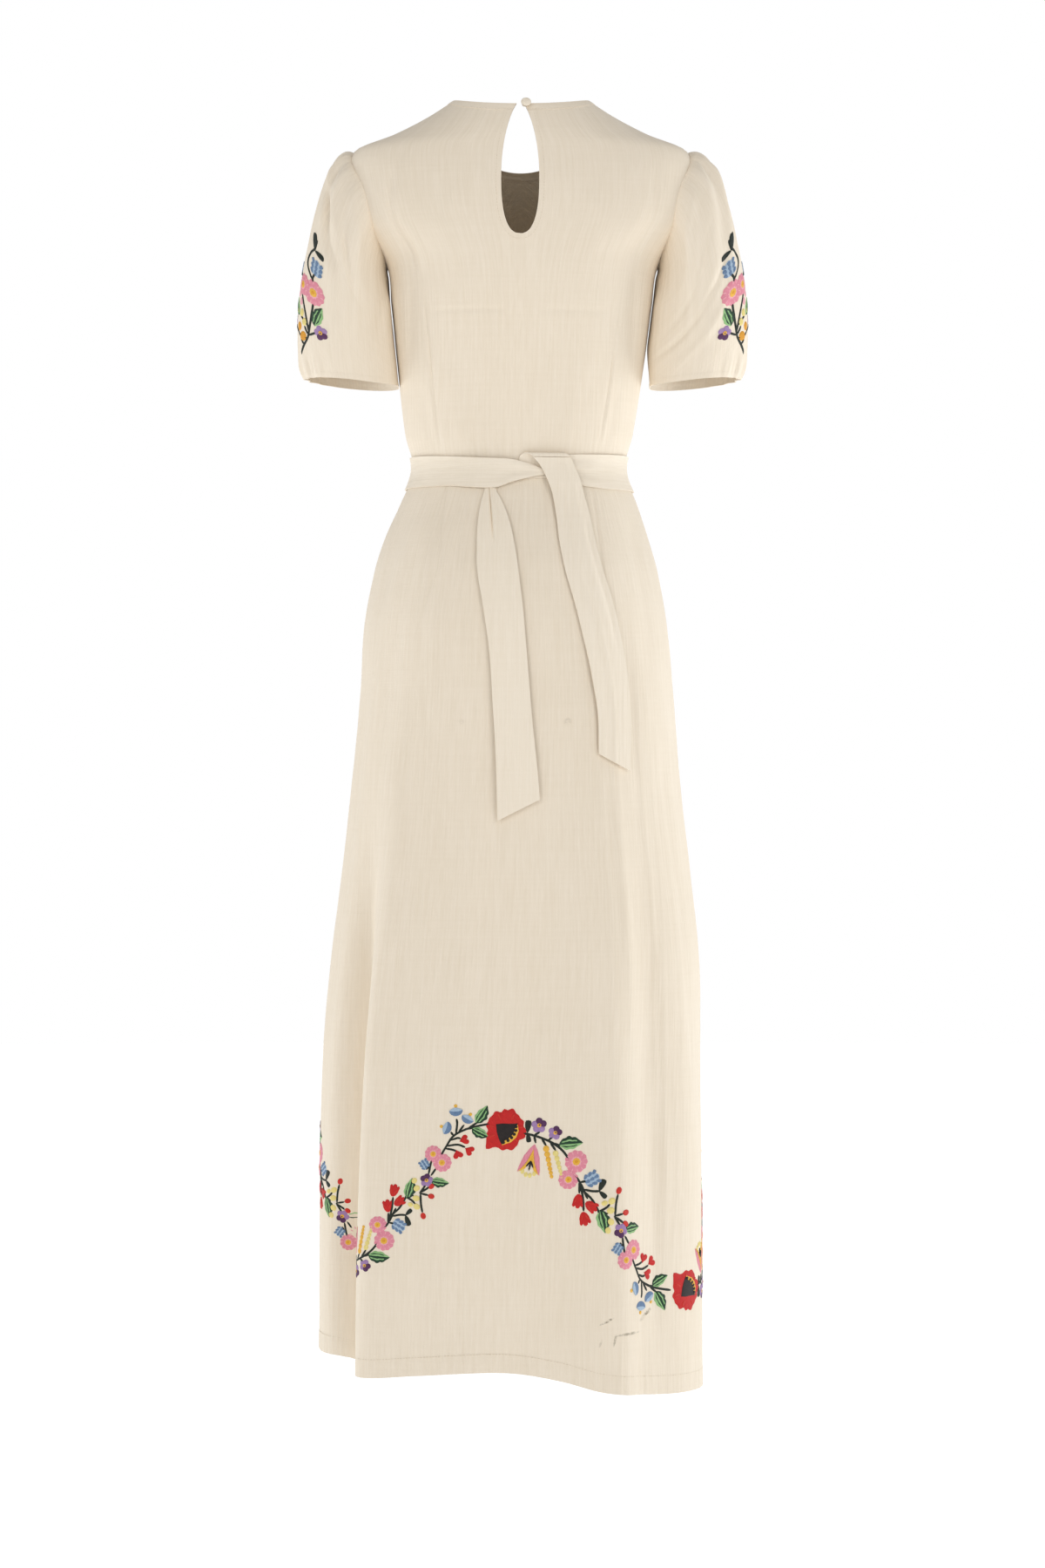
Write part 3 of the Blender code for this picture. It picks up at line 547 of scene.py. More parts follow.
def opening_angle(side, z):
    """Angle of the keyhole's edge, measured to its own side. 0 below the keyhole."""
    opening = keyhole_half_width(z)
    return np.where(opening > 0, side * angle_at(KEYHOLE_X + side * opening, z), 0.0)


def armhole_angle(front, z):
    """Outer edge of a bodice panel."""
    share = np.clip((z - UNDERARM_Z) / (SHOULDER_TIP_Z - UNDERARM_Z), 0.0, 1.0)
    return 90 - ARMHOLE_CUT[front] * np.abs(np.sin(math.pi * share)) ** ARMHOLE_ROUNDING


def up_from_waist(front, angle, up):
    """Height at a share of the way from the waist to the neck binding."""
    return WAIST_Z + (neck_z(front, angle) - WAIST_Z) * up


def bodice_angle_z(front, side, across, up):
    """Angle from the panel's middle and height of bodice points, and how far the keyhole's edge is."""
    outer = armhole_angle(front, up_from_waist(front, 90, up))
    if front:
        angle = outer * across ** FRONT_SPACING
        return angle, up_from_waist(True, angle, up), None
    inner = opening_angle(side, up_from_waist(False, 0.0, up))
    angle = inner + (outer - inner) * across ** BACK_SPACING
    z = up_from_waist(False, np.maximum(angle, 0.0), up)
    return angle, z, (angle - inner) * girth(z)


def bodice_point(front, side, across, up):
    """Points of a bodice panel with its creases, darts and turned keyhole edge."""
    angle, z, edge = bodice_angle_z(front, side, across, up)
    whole = side * (180 - angle) if front else side * angle
    inside = ramp(across, 1.0, 0.93) * ramp(up, 1.0, 0.95)
    out = (crease_depth(BODICE_CREASES, whole, z) + pressed_depth(BODICE_PRESSED, whole, z)) * inside
    out = out + CRINKLE * crinkle(whole * girth(z), z) * inside
    if not front:
        sewn = keyhole_half_width(z + FACING_WIDTH) > 0
        turned_in = ramp(edge, FACING_WIDTH + 0.0006, FACING_WIDTH - 0.0006)
        out = out + np.where(sewn, FACING_LIFT * turned_in, 0.0)
    out = out - SEAM_DENT * ramp(across, 0.965, 1.0)
    return body_point(whole, z, out), joined(whole * girth(z), z)


def armhole_point(side, around):
    """Points of the armhole. around is 0 at the shoulder tip, 0.25 at the back, 0.5 under the arm."""
    drop = (1 - np.cos(math.tau * around)) / 2
    seam_z = SHOULDER_TIP_Z + (UNDERARM_Z - SHOULDER_TIP_Z) * drop
    points = {}
    for front in (False, True):
        up = (seam_z - WAIST_Z) / (neck_z(front, 90) - WAIST_Z)
        angle, z, _ = bodice_angle_z(front, side, np.ones_like(up), up)
        points[front] = body_point(side * (180 - angle) if front else side * angle, z, -0.0004)
    return np.where((around > 0.5)[..., None], points[True], points[False])


def sleeve_frame(side, around, down):
    """Points of a sleeve without its folds, and the way out from them."""
    turn = math.tau * around
    top, under, flank = (1 + np.cos(turn)) / 2, (1 - np.cos(turn)) / 2, np.sin(turn)
    start = armhole_point(side, around)
    nil = np.zeros_like(turn)
    end = joined(side * (CUFF_X + CUFF_HALF_WIDTH * np.cos(turn)), -CUFF_HALF_DEPTH * flank,
                 CUFF_Z + CUFF_SLANT * np.cos(turn))
    reach = HEAD_REACH[side] * top ** 1.5 + FLANK_REACH * flank ** 2
    rise = HEAD_LIFT * top ** 2 - UNDERARM_DROP * under - FLANK_DROP * flank ** 2
    leave = joined(side * reach, -FLANK_SWELL * flank, rise)
    arrive = joined(-side * CUFF_TUCK * top, CUFF_FLANK_TUCK * flank, nil - CUFF_DROP)
    place = hermite(down[..., None], start, leave, end, arrive)
    out = joined(side * np.cos(turn), -flank, 0.5 * top * (1 - down))
    return place, out / np.linalg.norm(out, axis=-1, keepdims=True)


def sleeve_point(side, around, down, out=0.0):
    """Points of a sleeve with its gathers and folds, round and down as shares."""
    around, down = np.broadcast_arrays(np.asarray(around, float), np.asarray(down, float))
    place, away = sleeve_frame(side, around, down)
    from_top = (around + 0.5) % 1 - 0.5
    gathered = hump(from_top, GATHERED_SHARE)
    head = gathered * hump(down - HEAD_GATHER_MIDDLE, HEAD_GATHER_LENGTH)
    cuff = gathered * ramp(down, *CUFF_GATHER_SPAN)
    waves = math.tau * from_top / (2.6 * GATHERED_SHARE)
    moved = (head * HEAD_GATHER_DEPTH * np.cos(HEAD_GATHERS * waves)
             + cuff * CUFF_GATHER_DEPTH * np.cos(CUFF_GATHERS * waves))
    moved = moved + SLEEVE_PUFF * gathered * hump(down - 0.70, 0.22)
    fine = gathered * hump(down - 0.05, 0.06) * FINE_HEAD_GATHER * np.cos(3.1 * HEAD_GATHERS * waves + side)
    at_cuff = gathered * ramp(down, 0.86, 0.94) * ramp(down, 1.0, 0.95)
    fine += at_cuff * FINE_CUFF_GATHER * np.cos(2.7 * CUFF_GATHERS * waves)
    length = 0.20 + 0.06 * np.cos(math.tau * around)
    creases = SLEEVE_CREASES + OWN_CREASES[side]
    for head_round, head_down, foot_round, foot_down, half_width, deep in creases:
        share = (down - head_down) / (foot_down - head_down)
        middle = head_round + (foot_round - head_round) * share
        off = ((around - middle + 0.5) % 1 - 0.5) * SLEEVE_GIRTH
        moved = moved + deep * ramp(share, -0.05, 0.25) * ramp(share, 1.1, 0.7) * hump(off, half_width)
    moved = moved + fine + CRINKLE * crinkle(around * SLEEVE_GIRTH, down * length) * ramp(down, 0.0, 0.1)
    turned_up = ramp(down, CUFF_HEM_SHARE - 0.006, CUFF_HEM_SHARE + 0.004)
    moved = moved + out + CUFF_LIFT * turned_up - CUFF_DENT * hump(down - CUFF_HEM_SHARE, 0.004)
    height = place[..., 2]
    lean = columns_of(SLEEVE_LEAN[side], height)[0] * hump(around - 0.5, 0.12)
    lean = lean + BACK_LEAN[side] * ramp(height, -0.195, -0.235) * hump(around - 0.41, 0.05)
    place = place - joined(side * lean, 0 * lean, 0 * lean)
    return place + away * moved[..., None], joined(around * SLEEVE_GIRTH, -down * length)


def hem_z(angle):
    """Height of the hem."""
    waves = columns_of(HEM_WAVES, (np.asarray(angle, float) + 90) % 360 - 90)[0]
    return HEM_Z - HEM_SLANT * np.sin(np.radians(angle)) + waves


def skirt_surface(angle, z, out=0.0):
    """Points of the skirt with its creases."""
    below = ramp(z, WAIST_Z, WAIST_Z - 0.03)
    side = np.abs((angle + 180) % 180 - 90) * girth(z)
    out = out + crease_depth(SKIRT_CREASES, angle, z) + pressed_depth(SKIRT_PRESSED, angle, z)
    out = out + SKIRT_CRINKLE * crinkle(angle * girth(z), z) * below
    return body_point(angle, z, out - SEAM_DENT * hump(side, 0.0015))


def skirt_point(front, across, down):
    """Points of a skirt panel. across goes 0 to 1 from seam to seam, down from the waist to the hem."""
    angle = -90 + 180 * across + (180 if front else 0)
    z = WAIST_Z + (hem_z(angle) - WAIST_Z) * down
    above_hem = z - hem_z(angle)
    out = HEM_LIFT * ramp(above_hem, *HEM_TURN) - STITCH_DENT * hump(above_hem - HEM_DENT_Z, 0.0008)
    out = out + 0.0006 * np.sin(angle * 3.1) * np.sin(angle * 1.27 + 1) * ramp(above_hem, 0.035, 0.0)
    return skirt_surface(angle, z, out), joined(angle * 0.0032, z)


def belt_point(along, up):
    """Points of the belt, from its hidden start round the front to the end that the knot pinches."""
    angle = BELT_ROWS[0][0] + (BELT_ROWS[-1][0] - BELT_ROWS[0][0]) * along
    upper, lower, gap = columns_of(BELT_ROWS, angle)
    side_rise = BELT_SIDE_RISE * np.sin(np.radians(angle)) ** 2 * ramp(angle, 356, 330)
    z = lower + (upper - lower) * up + side_rise
    soft = 0.0003 * np.sin(angle * 0.35) * np.sin(math.pi * up) + BELT_CRINKLE * crinkle(z, angle * 0.002)
    pinch = ramp(angle, 340, 366)
    soft = soft + 0.0006 * pinch * np.sin(3 * math.pi * up + 0.5) * ramp(angle, 372, 360)
    start_folds = 0.0010 * ramp(angle, 52, 26) * np.sin(4 * math.pi * up)
    soft = soft + start_folds * ramp(up, 0.0, 0.2) * ramp(up, 1.0, 0.8)
    return body_point(angle, z, gap + soft), joined(z, angle * 0.0021)


def strip_point(rows, tip_slant, folds, along, across):
    """Points of a belt tail or the knot."""
    steps = np.array([(i / (len(rows) - 1), *row) for i, row in enumerate(rows)])
    z, left, right, gap = columns_of(steps, along)
    x = left + (right - left) * across
    z = z - tip_slant * (across - 0.5) * ramp(along, TIP_START, 1.0)
    soft = BELT_CRINKLE * crinkle(x, z)
    for place, half_width, deep, start, end in folds:
        fade = ramp(along, start, start + 0.08) * ramp(along, end, end - 0.12)
        soft = soft + deep * fade * hump(across - place, half_width)
    return body_point(angle_at(x, z), z, gap + soft), joined(x, z)


def binding_point(front, side, across, down, out=0.0):
    """Points of the neck binding, in line with the columns of the panel below it."""
    outer = armhole_angle(front, 0.0)
    if front:
        angle = outer * across ** FRONT_SPACING
        z = np.empty_like(angle)
        for step in np.unique(down):
            same = down == step
            z[same] = neck_z(True, angle[same], step * NECK_BINDING_WIDTH)
        whole = side * (180 - angle)
    else:
        margin = down * NECK_BINDING_WIDTH
        inner = opening_angle(side, neck_z(False, 0.0, margin))
        angle = inner + (outer - inner) * across ** BACK_SPACING
        z = neck_z(False, np.maximum(angle, 0.0), margin)
        whole = side * angle
    rolled = 0.00025 * np.sin(math.pi * down) - 0.0002 * hump(down - 0.86, 0.05)
    cloth_map = joined(down * NECK_BINDING_WIDTH, whole * 0.0016)
    return body_point(whole, z, out + rolled), cloth_map


# Shader maths
class Signal:
    """A socket in a finish, for shader maths written as expressions."""

    def __init__(self, finish, socket):
        self.finish = finish
        self.socket = socket

    def maths(self, operation, first, second=0.0):
        return self.finish.node("ShaderNodeMath", {"operation": operation}, {0: first, 1: second})

    def __add__(self, other):
        return self.maths("ADD", self, other)

    __radd__ = __add__

    def __mul__(self, other):
        return self.maths("MULTIPLY", self, other)

    def __sub__(self, other):
        return self.maths("SUBTRACT", self, other)

    def __rsub__(self, other):
        return self.maths("SUBTRACT", other, self)

    def __truediv__(self, other):
        return self.maths("DIVIDE", self, other)

    def __pow__(self, other):
        return self.maths("POWER", self, other)

    def above(self, low, high):
        """0 at low, 1 at high, held between."""
        return self.finish.node("ShaderNodeMapRange", {"interpolation_type": "SMOOTHSTEP"},
                                {0: self, 1: low, 2: high, 3: 0.0, 4: 1.0})


class Finish:
    """A material while it is put together."""

    def __init__(self, name, roughness, **fixed):
        self.material = bpy.data.materials.new(name)
        self.material.use_nodes = True
        self.tree = self.material.node_tree
        self.shader = self.tree.nodes["Principled BSDF"]
        self.shader.inputs["Roughness"].default_value = roughness
        for socket, value in fixed.items():
            self.shader.inputs[socket.replace("_", " ")].default_value = value

    def put(self, socket, value):
        if isinstance(value, Signal):
            self.tree.links.new(value.socket, socket)
        else:
            socket.default_value = value

    def node(self, kind, settings=None, values=None, output=0):
        node = self.tree.nodes.new(kind)
        for key, value in (settings or {}).items():
            setattr(node, key, value)
        for key, value in (values or {}).items():
            self.put(node.inputs[key], value)
        return Signal(self, node.outputs[output])

    def cloth_map(self, across, along):
        """The piece's own UV map in metres, scaled."""
        spot = self.node("ShaderNodeUVMap", {"uv_map": "cloth"})
        return self.node("ShaderNodeMapping", {}, {"Vector": spot, "Scale": (across, along, 1.0)})

    def noise(self, across, along, detail=2.0, roughness=0.5):
        """Noise with so many lumps a metre across and along the cloth."""
        return self.node("ShaderNodeTexNoise", {"noise_dimensions": "3D"},
                         {"Vector": self.cloth_map(across, along), "Scale": 1.0, "Detail": detail,
                          "Roughness": roughness})

    def mix(self, share, first, second):
        return self.node("ShaderNodeMix", {"data_type": "RGBA"}, {"Factor": share, 6: first, 7: second}, 2)

    def wear(self, **sockets):
        """Feed what varies over the surface to the shader."""
        for name, value in sockets.items():
            self.put(self.shader.inputs[name.replace("_", " ")], value)

    def bump(self, height, distance, strength=1.0):
        relief = self.node("ShaderNodeBump", {},
                           {"Strength": strength, "Distance": distance, "Height": height})
        self.put(self.shader.inputs["Normal"], relief)


def rgb(red, green, blue):
    """Colour from the values of a screen."""
    return tuple(((v / 255 + 0.055) / 1.055) ** 2.4 for v in (red, green, blue)) + (1.0,)


STAIN_GREY = rgb(132, 120, 98)
STAINS = (  # across, height, half length, half width, slope in degrees, strength
    (0.0908, -1.3415, 0.0085, 0.0016, 25, 0.90),
    (0.1133, -1.3563, 0.0150, 0.0018, 4, 0.60),
    (0.0997, -1.3620, 0.0075, 0.0015, 78, 0.60),
    (0.1357, -1.3355, 0.0060, 0.0022, 38, 0.75),
    (0.1310, -1.3410, 0.0060, 0.0024, 45, 0.35),
    (0.0842, -1.3644, 0.0055, 0.0016, 72, 0.35),
    (-0.0660, -0.6945, 0.0040, 0.0038, 0, 0.22),
    (0.0490, -0.6945, 0.0050, 0.0045, 20, 0.30),
)


def cloth_finish(name, light, dark, stained=False):
    """Cream crepe weave: fine upright slubs crossed by a finer weft, with a dry, slightly fuzzy face."""
    finish = Finish(name, 0.9, Specular_IOR_Level=0.25, Sheen_Weight=0.12, Sheen_Roughness=0.6)
    warp = finish.noise(1500.0, 55.0)
    weft = finish.noise(70.0, 1300.0)
    slub = finish.noise(420.0, 14.0, detail=3.0)
    bar = finish.noise(11.0, 330.0, detail=3.0)
    cloud = finish.noise(16.0, 5.0, detail=3.0)
    ripple = finish.noise(170.0, 6.0)
    tone = (slub - 0.5) * 0.7 + (bar - 0.5) * 0.22 + (cloud - 0.5) * 0.3 + (warp - 0.5) * 0.5 + 0.5
    colour = finish.mix(tone.above(0.0, 1.0), dark, light)
    if stained:
        spot = finish.node("ShaderNodeTexCoord", output=3)
        parts = [finish.node("ShaderNodeSeparateXYZ", {}, {0: spot}, i) for i in range(3)]
        speckle = finish.noise(150.0, 190.0, detail=4.0, roughness=0.7)
        dirt = None
        for across, height, half_length, half_width, slope, strength in STAINS:
            cos, sin = math.cos(math.radians(slope)), math.sin(math.radians(slope))
            along = (parts[0] - across) * cos + (parts[2] - height) * sin
            aside = (parts[2] - height) * cos - (parts[0] - across) * sin
            far = (along / half_length) ** 2.0 + (aside / half_width) ** 2.0
            spot_dirt = (1.0 - far).above(-0.5, 0.9) * (speckle.above(0.30, 0.60) * strength)
            dirt = spot_dirt if dirt is None else dirt + spot_dirt
        behind = (0.0 - parts[1]).above(0.0, 0.05)
        colour = finish.mix((dirt * behind).above(0.0, 1.0), colour, STAIN_GREY)
    finish.wear(Base_Color=colour, Roughness=0.84 + (slub - 0.5) * 0.16)
    finish.bump(warp * 0.35 + weft * 0.25 + slub * 0.8 + bar * 0.35 + ripple * 1.6, 0.00045, 0.85)
    return finish.material


def thread_finish(name, colour, deep):
    """Satin stitch in shiny thread: fine ridges along it, strands of slightly different colour, and painted
    shade that darkens the grooves between its ridges.
    """
    finish = Finish(name, 0.5, Specular_IOR_Level=0.28)
    strand = finish.noise(1900.0, 160.0)
    patch = finish.noise(160.0, 160.0)
    ridge = finish.node("ShaderNodeTexWave", {"wave_type": "BANDS", "bands_direction": "X"},
                        {"Vector": finish.cloth_map(330.0, 330.0), "Scale": 1.0, "Distortion": 1.2}, 1)
    # The colour also follows the ridges of the bump: painted shade in the grooves between them, lighter on
    # their tops
    shade = (strand - 0.5) * 1.3 + (patch - 0.5) * 0.7 + ridge * 0.35 + 0.35
    finish.wear(Base_Color=finish.mix(shade.above(0.0, 1.0), deep, colour), Roughness=0.42 + strand * 0.2)
    finish.bump(ridge * 0.8 + strand * 0.5, 0.0003, 0.8)
    return finish.material


CREAM_LIGHT = rgb(239, 227, 209)
CREAM_DARK = rgb(227, 213, 191)
DRESS_CLOTH = cloth_finish("cream_crepe", CREAM_LIGHT, CREAM_DARK)
SKIRT_CLOTH = cloth_finish("cream_crepe_worn", CREAM_LIGHT, CREAM_DARK, stained=True)
# Painted light: the belt and the button are of the dress's own cloth, given this lighter copy of its
# colours
CLOTH_WITH_PAINTED_LIGHT = cloth_finish("cream_crepe_painted_light", rgb(242, 231, 214), rgb(232, 219, 198))
THREAD_COLOURS = {  # colour of the thread; darker colour of its darker strands and of the painted shade between its ridges
    "cream": ((236, 225, 207), (214, 199, 176)), "red": ((212, 38, 34), (178, 24, 26)),
    "scarlet": ((216, 58, 44), (184, 36, 30)), "black": ((44, 36, 34), (22, 18, 18)),
    "stem": ((40, 48, 40), (22, 30, 24)), "green": ((40, 74, 50), (24, 50, 34)),
    "mint": ((160, 202, 140), (122, 172, 108)), "blue": ((116, 142, 174), (88, 114, 148)),
    "sky": ((178, 198, 216), (150, 174, 198)), "pink": ((232, 152, 166), (218, 126, 146)),
    "rose": ((240, 182, 188), (230, 158, 170)), "yellow": ((238, 190, 78), (224, 164, 52)),
    "gold": ((229, 164, 48), (210, 142, 34)), "lemon": ((238, 222, 146), (224, 204, 118)),
    "purple": ((96, 54, 96), (70, 36, 74)), "lilac": ((172, 140, 184), (146, 112, 162)),
}
LONG_NAMES = {"stem": "stem_green", "green": "leaf_green", "rose": "pale_pink"}
THREADS = {key: thread_finish(LONG_NAMES.get(key, key) + "_thread", rgb(*colour), rgb(*deep))
           for key, (colour, deep) in THREAD_COLOURS.items()}


# Making the pieces
DOUBLES_DISTANCE = 0.00004
CLOTH_SHARP_OVER = 50     # edges over this angle stay sharp
THREAD_SHARP_OVER = 60


def alone(*objects):
    """Select just these objects, the last one active."""
    bpy.ops.object.select_all(action="DESELECT")
    for piece in objects:
        piece.select_set(True)
        bpy.context.view_layer.objects.active = piece


def ride(piece, slot, *nodes):
    """Put a piece on the one body and hide the solids that it stands in for. slot is not used."""
    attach(piece, "root")
    if nodes:
        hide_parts(*nodes)


def set_cloth_map(mesh, cloth_map):
    """UV map of a mesh, from a place in metres for each vertex."""
    while mesh.uv_layers:
        mesh.uv_layers.remove(mesh.uv_layers[0])
    corners = np.empty(len(mesh.loops), int)
    mesh.loops.foreach_get("vertex_index", corners)
    mesh.uv_layers.new(name="cloth").data.foreach_set("uv", cloth_map[corners].ravel())


def vertex_places(mesh):
    """Points of a mesh as rows."""
    flat = np.empty(len(mesh.vertices) * 3)
    mesh.vertices.foreach_get("co", flat)
    return flat.reshape(-1, 3)


def sheet_grid(columns, rows, place):
    """Grid of cloth. place takes shares across and down, and gives points and their cloth map."""
    alone()
    bpy.ops.mesh.primitive_grid_add(x_subdivisions=columns, y_subdivisions=rows, size=2.0)
    piece = bpy.context.object
    flat = vertex_places(piece.data)
    points, cloth_map = place(np.clip((flat[:, 0] + 1) / 2, 0, 1), np.clip((1 - flat[:, 1]) / 2, 0, 1))
    piece.data.vertices.foreach_set("co", points.ravel())
    set_cloth_map(piece.data, cloth_map)
    piece.data.update()
    return piece


def edit_faces(*operators):
    """Run mesh operators on all of the active piece. Each is an operator and its settings."""
    bpy.ops.object.mode_set(mode="EDIT")
    bpy.ops.mesh.select_all(action="SELECT")
    for operator, settings in operators:
        operator(**settings)
    bpy.ops.object.mode_set(mode="OBJECT")


def from_axis(point):
    """The way out from the middle of the dress."""
    return (point[0], point[1], 0.0)


def cloth_piece(node, parts, wall, finish, outward=from_axis, slot="dress_cloth"):
    """Join grids into one sheet, merge its doubles, turn it outwards and give it its wall."""
    alone(*parts)
    if len(parts) > 1:
        bpy.ops.object.join()
    piece = bpy.context.object
    piece.name = piece.data.name = node + "_cloth"
    edit_faces((bpy.ops.mesh.remove_doubles, {"threshold": DOUBLES_DISTANCE}),
               (bpy.ops.mesh.normals_make_consistent, {"inside": False}))
    face = piece.data.polygons[len(piece.data.polygons) // 2]
    if sum(a * b for a, b in zip(face.normal, outward(face.center))) < 0:
        edit_faces((bpy.ops.mesh.flip_normals, {}))
    solid = piece.modifiers.new("wall", "SOLIDIFY")
    solid.thickness = wall
    solid.offset = 0.0
    solid.use_quality_normals = True
    bpy.ops.object.modifier_apply(modifier=solid.name)
    bpy.ops.object.shade_smooth_by_angle(angle=math.radians(CLOTH_SHARP_OVER))
    piece.data.materials.clear()
    piece.data.materials.append(finish)
    ride(piece, slot, node)
    return piece


# Columns and rows of each grid, and the even rows of the back bodice moved towards the keyhole's round foot
BODICE_GRID = (94, 150)
SKIRT_GRID = (210, 196)
SLEEVE_GRID = (190, 100)
BINDING_GRID = (70, 6)
BAND_GRID = (260, 12)
TAIL_GRID = (30, 150)
KNOT_GRID = (18, 60)
BACK_ROWS = ((0.0, 0.60, 0.74, 1.0), (0.0, 0.630, 0.656, 1.0))


def bodice(node, front):
    """Two halves that meet at the middle."""
    rows = ((0, 1), (0, 1)) if front else BACK_ROWS
    halves = [sheet_grid(*BODICE_GRID, lambda across, down, side=side:
                         bodice_point(front, side, across, np.interp(1 - down, *rows))) for side in (-1, 1)]
    return cloth_piece(node, halves, CLOTH, DRESS_CLOTH)


def skirt(node, front):
    """One panel from side seam to side seam."""
    panel = sheet_grid(*SKIRT_GRID, lambda across, down: skirt_point(front, across, down))
    return cloth_piece(node, [panel], CLOTH, SKIRT_CLOTH)


def sleeve(node, side):
    """Grid closed to a tube, its seam at the top."""
    tube = sheet_grid(*SLEEVE_GRID, lambda across, down: sleeve_point(side, across, down))
    return cloth_piece(node, [tube], CLOTH, DRESS_CLOTH, lambda p: (p[0] - side * CUFF_X, p[1], 0.0))


bodice_back = bodice("bodice_back", False)
bodice_front = bodice("bodice_front", True)
skirt_back = skirt("skirt_back", False)
skirt_front = skirt("skirt_front", True)
sleeve_left = sleeve("sleeve_left", -1)
sleeve_right = sleeve("sleeve_right", 1)


def neck_binding():
    """Four parts that follow the bodice's columns, open at the keyhole."""
    parts = [sheet_grid(*BINDING_GRID, lambda across, down, f=front, s=side:
                        binding_point(f, s, across, np.round(down, 5)))
             for front in (False, True) for side in (-1, 1)]
    return cloth_piece("neck_binding", parts, BINDING, DRESS_CLOTH)


def belt_piece(node, grid, place, wall=BELT, outward=from_axis):
    """Part of the belt. place takes shares across and down."""
    return cloth_piece(node, [sheet_grid(*grid, place)], wall, CLOTH_WITH_PAINTED_LIGHT, outward, "belt_cloth")


def belt_strip(node, grid, rows, slant, folds, **settings):
    """Tail or knot of the belt."""
    return belt_piece(node, grid, lambda across, down:
                      strip_point(rows, slant, folds, down, across), **settings)


binding = neck_binding()
belt_band = belt_piece("belt_band", BAND_GRID, lambda across, down: belt_point(across, 1 - down))
tail_left = belt_strip("belt_tail_left", TAIL_GRID, TAIL_LEFT_ROWS, TAIL_LEFT_TIP_SLANT, TAIL_LEFT_FOLDS)
tail_right = belt_strip("belt_tail_right", TAIL_GRID, TAIL_RIGHT_ROWS, TAIL_RIGHT_TIP_SLANT,
                        TAIL_RIGHT_FOLDS)
knot = belt_strip("belt_knot", KNOT_GRID, KNOT_ROWS, 0.0, (), wall=BELT * KNOT_SHARE,
                  outward=lambda p: (0.0, 0.0, 1.0))


def nape_place(right, up, out):
    """Point on the tilted plane at the nape that the button and its loop lie on."""
    seat = body_point(angle_at(BUTTON_X, BUTTON_Z), BUTTON_Z)
    low = BUTTON_Z - NAPE_STEP
    below = body_point(angle_at(BUTTON_X, low), low)
    rise = (seat - below) / np.linalg.norm(seat - below)
    normal = np.cross((1.0, 0.0, 0.0), rise)
    return seat + np.array((right, 0.0, 0.0)) + rise * up + normal / np.linalg.norm(normal) * out


def button():
    """Button covered in the dress cloth, gathered behind a rounded rim."""
    alone()
    bpy.ops.mesh.primitive_uv_sphere_add(segments=40, ring_count=20, radius=1.0)
    piece = bpy.context.object
    piece.name = "button_cover_cloth"
    stand_off = NECK_EDGE_WALL / 2 + LOOP_WIRE + 2 * SEAM_GAP + BUTTON_DEPTH / 2
    mesh = piece.data
    set_cloth_map(mesh, vertex_places(mesh)[:, :2] * BUTTON_RADIUS)
    for vert in mesh.vertices:
        x, y, z = vert.co
        pleat = 1 + PLEAT_DEPTH * math.cos(BUTTON_PLEATS * math.atan2(y, x)) * max(-z, 0.0) ** 0.5
        high = stand_off + math.copysign(abs(z) ** 0.8, z) * BUTTON_DEPTH / 2
        vert.co = nape_place(x * BUTTON_RADIUS * pleat, y * BUTTON_RADIUS * pleat, high)
    alone(piece)
    bpy.ops.object.shade_smooth()
    # painted light: the button gets the lighter copy of the dress cloth
    mesh.materials.append(CLOTH_WITH_PAINTED_LIGHT)
    ride(piece, "button_cover", "button")


button()
loop = bpy.data.objects["button_loop"]
loop.data.materials.clear()
loop.data.materials.append(THREADS["cream"])


# Satin stitch, charted flat and laid on the cloth
def tube_faces(rings, across):
    """Faces of a closed tube of rings of points, with both its ends."""
    faces = [(i * across + j, i * across + (j + 1) % across, (i + 1) * across + (j + 1) % across,
              (i + 1) * across + j) for i in range(rings - 1) for j in range(across)]
    return faces + [tuple(range(across)), tuple((rings - 1) * across + j for j in reversed(range(across)))]


def sewn_piece(name, points, faces, cloth_map, threads, sharp_over=None):
    """Piece of thread with its faces turned outwards. Edges over an angle in degrees stay sharp."""
    mesh = bpy.data.meshes.new(name)
    mesh.from_pydata(points.tolist(), [], faces)
    set_cloth_map(mesh, cloth_map)
    names = sorted(set(threads))
    for thread in names:
        mesh.materials.append(THREADS[thread])
    mesh.polygons.foreach_set("material_index", [names.index(thread) for thread in threads])
    form = bmesh.new()
    form.from_mesh(mesh)
    bmesh.ops.recalc_face_normals(form, faces=form.faces)
    form.to_mesh(mesh)
    form.free()
    piece = bpy.data.objects.new(name, mesh)
    bpy.context.scene.collection.objects.link(piece)
    alone(piece)
    if sharp_over:
        bpy.ops.object.shade_smooth_by_angle(angle=math.radians(sharp_over))
    else:
        bpy.ops.object.shade_smooth()
    ride(piece, "dress_cloth")


MM = 0.001
# Rings of a patch: share of its outline, share of its height (millimetres where below zero)
PATCH_STEPS = ((1.0, -0.35), (1.0, 0.35), (0.84, 0.80), (0.50, 0.97))
PATCH_FOOT = -0.35
STEM_SECTION = ((-0.5, -0.3), (-0.42, 0.5), (0.0, 1.0), (0.42, 0.5), (0.5, -0.3))
STEM_STEP = 2.6           # millimetres between its rings
STEM_HEIGHT = 0.75
STEM_END = 0.55           # share of the width at its ends


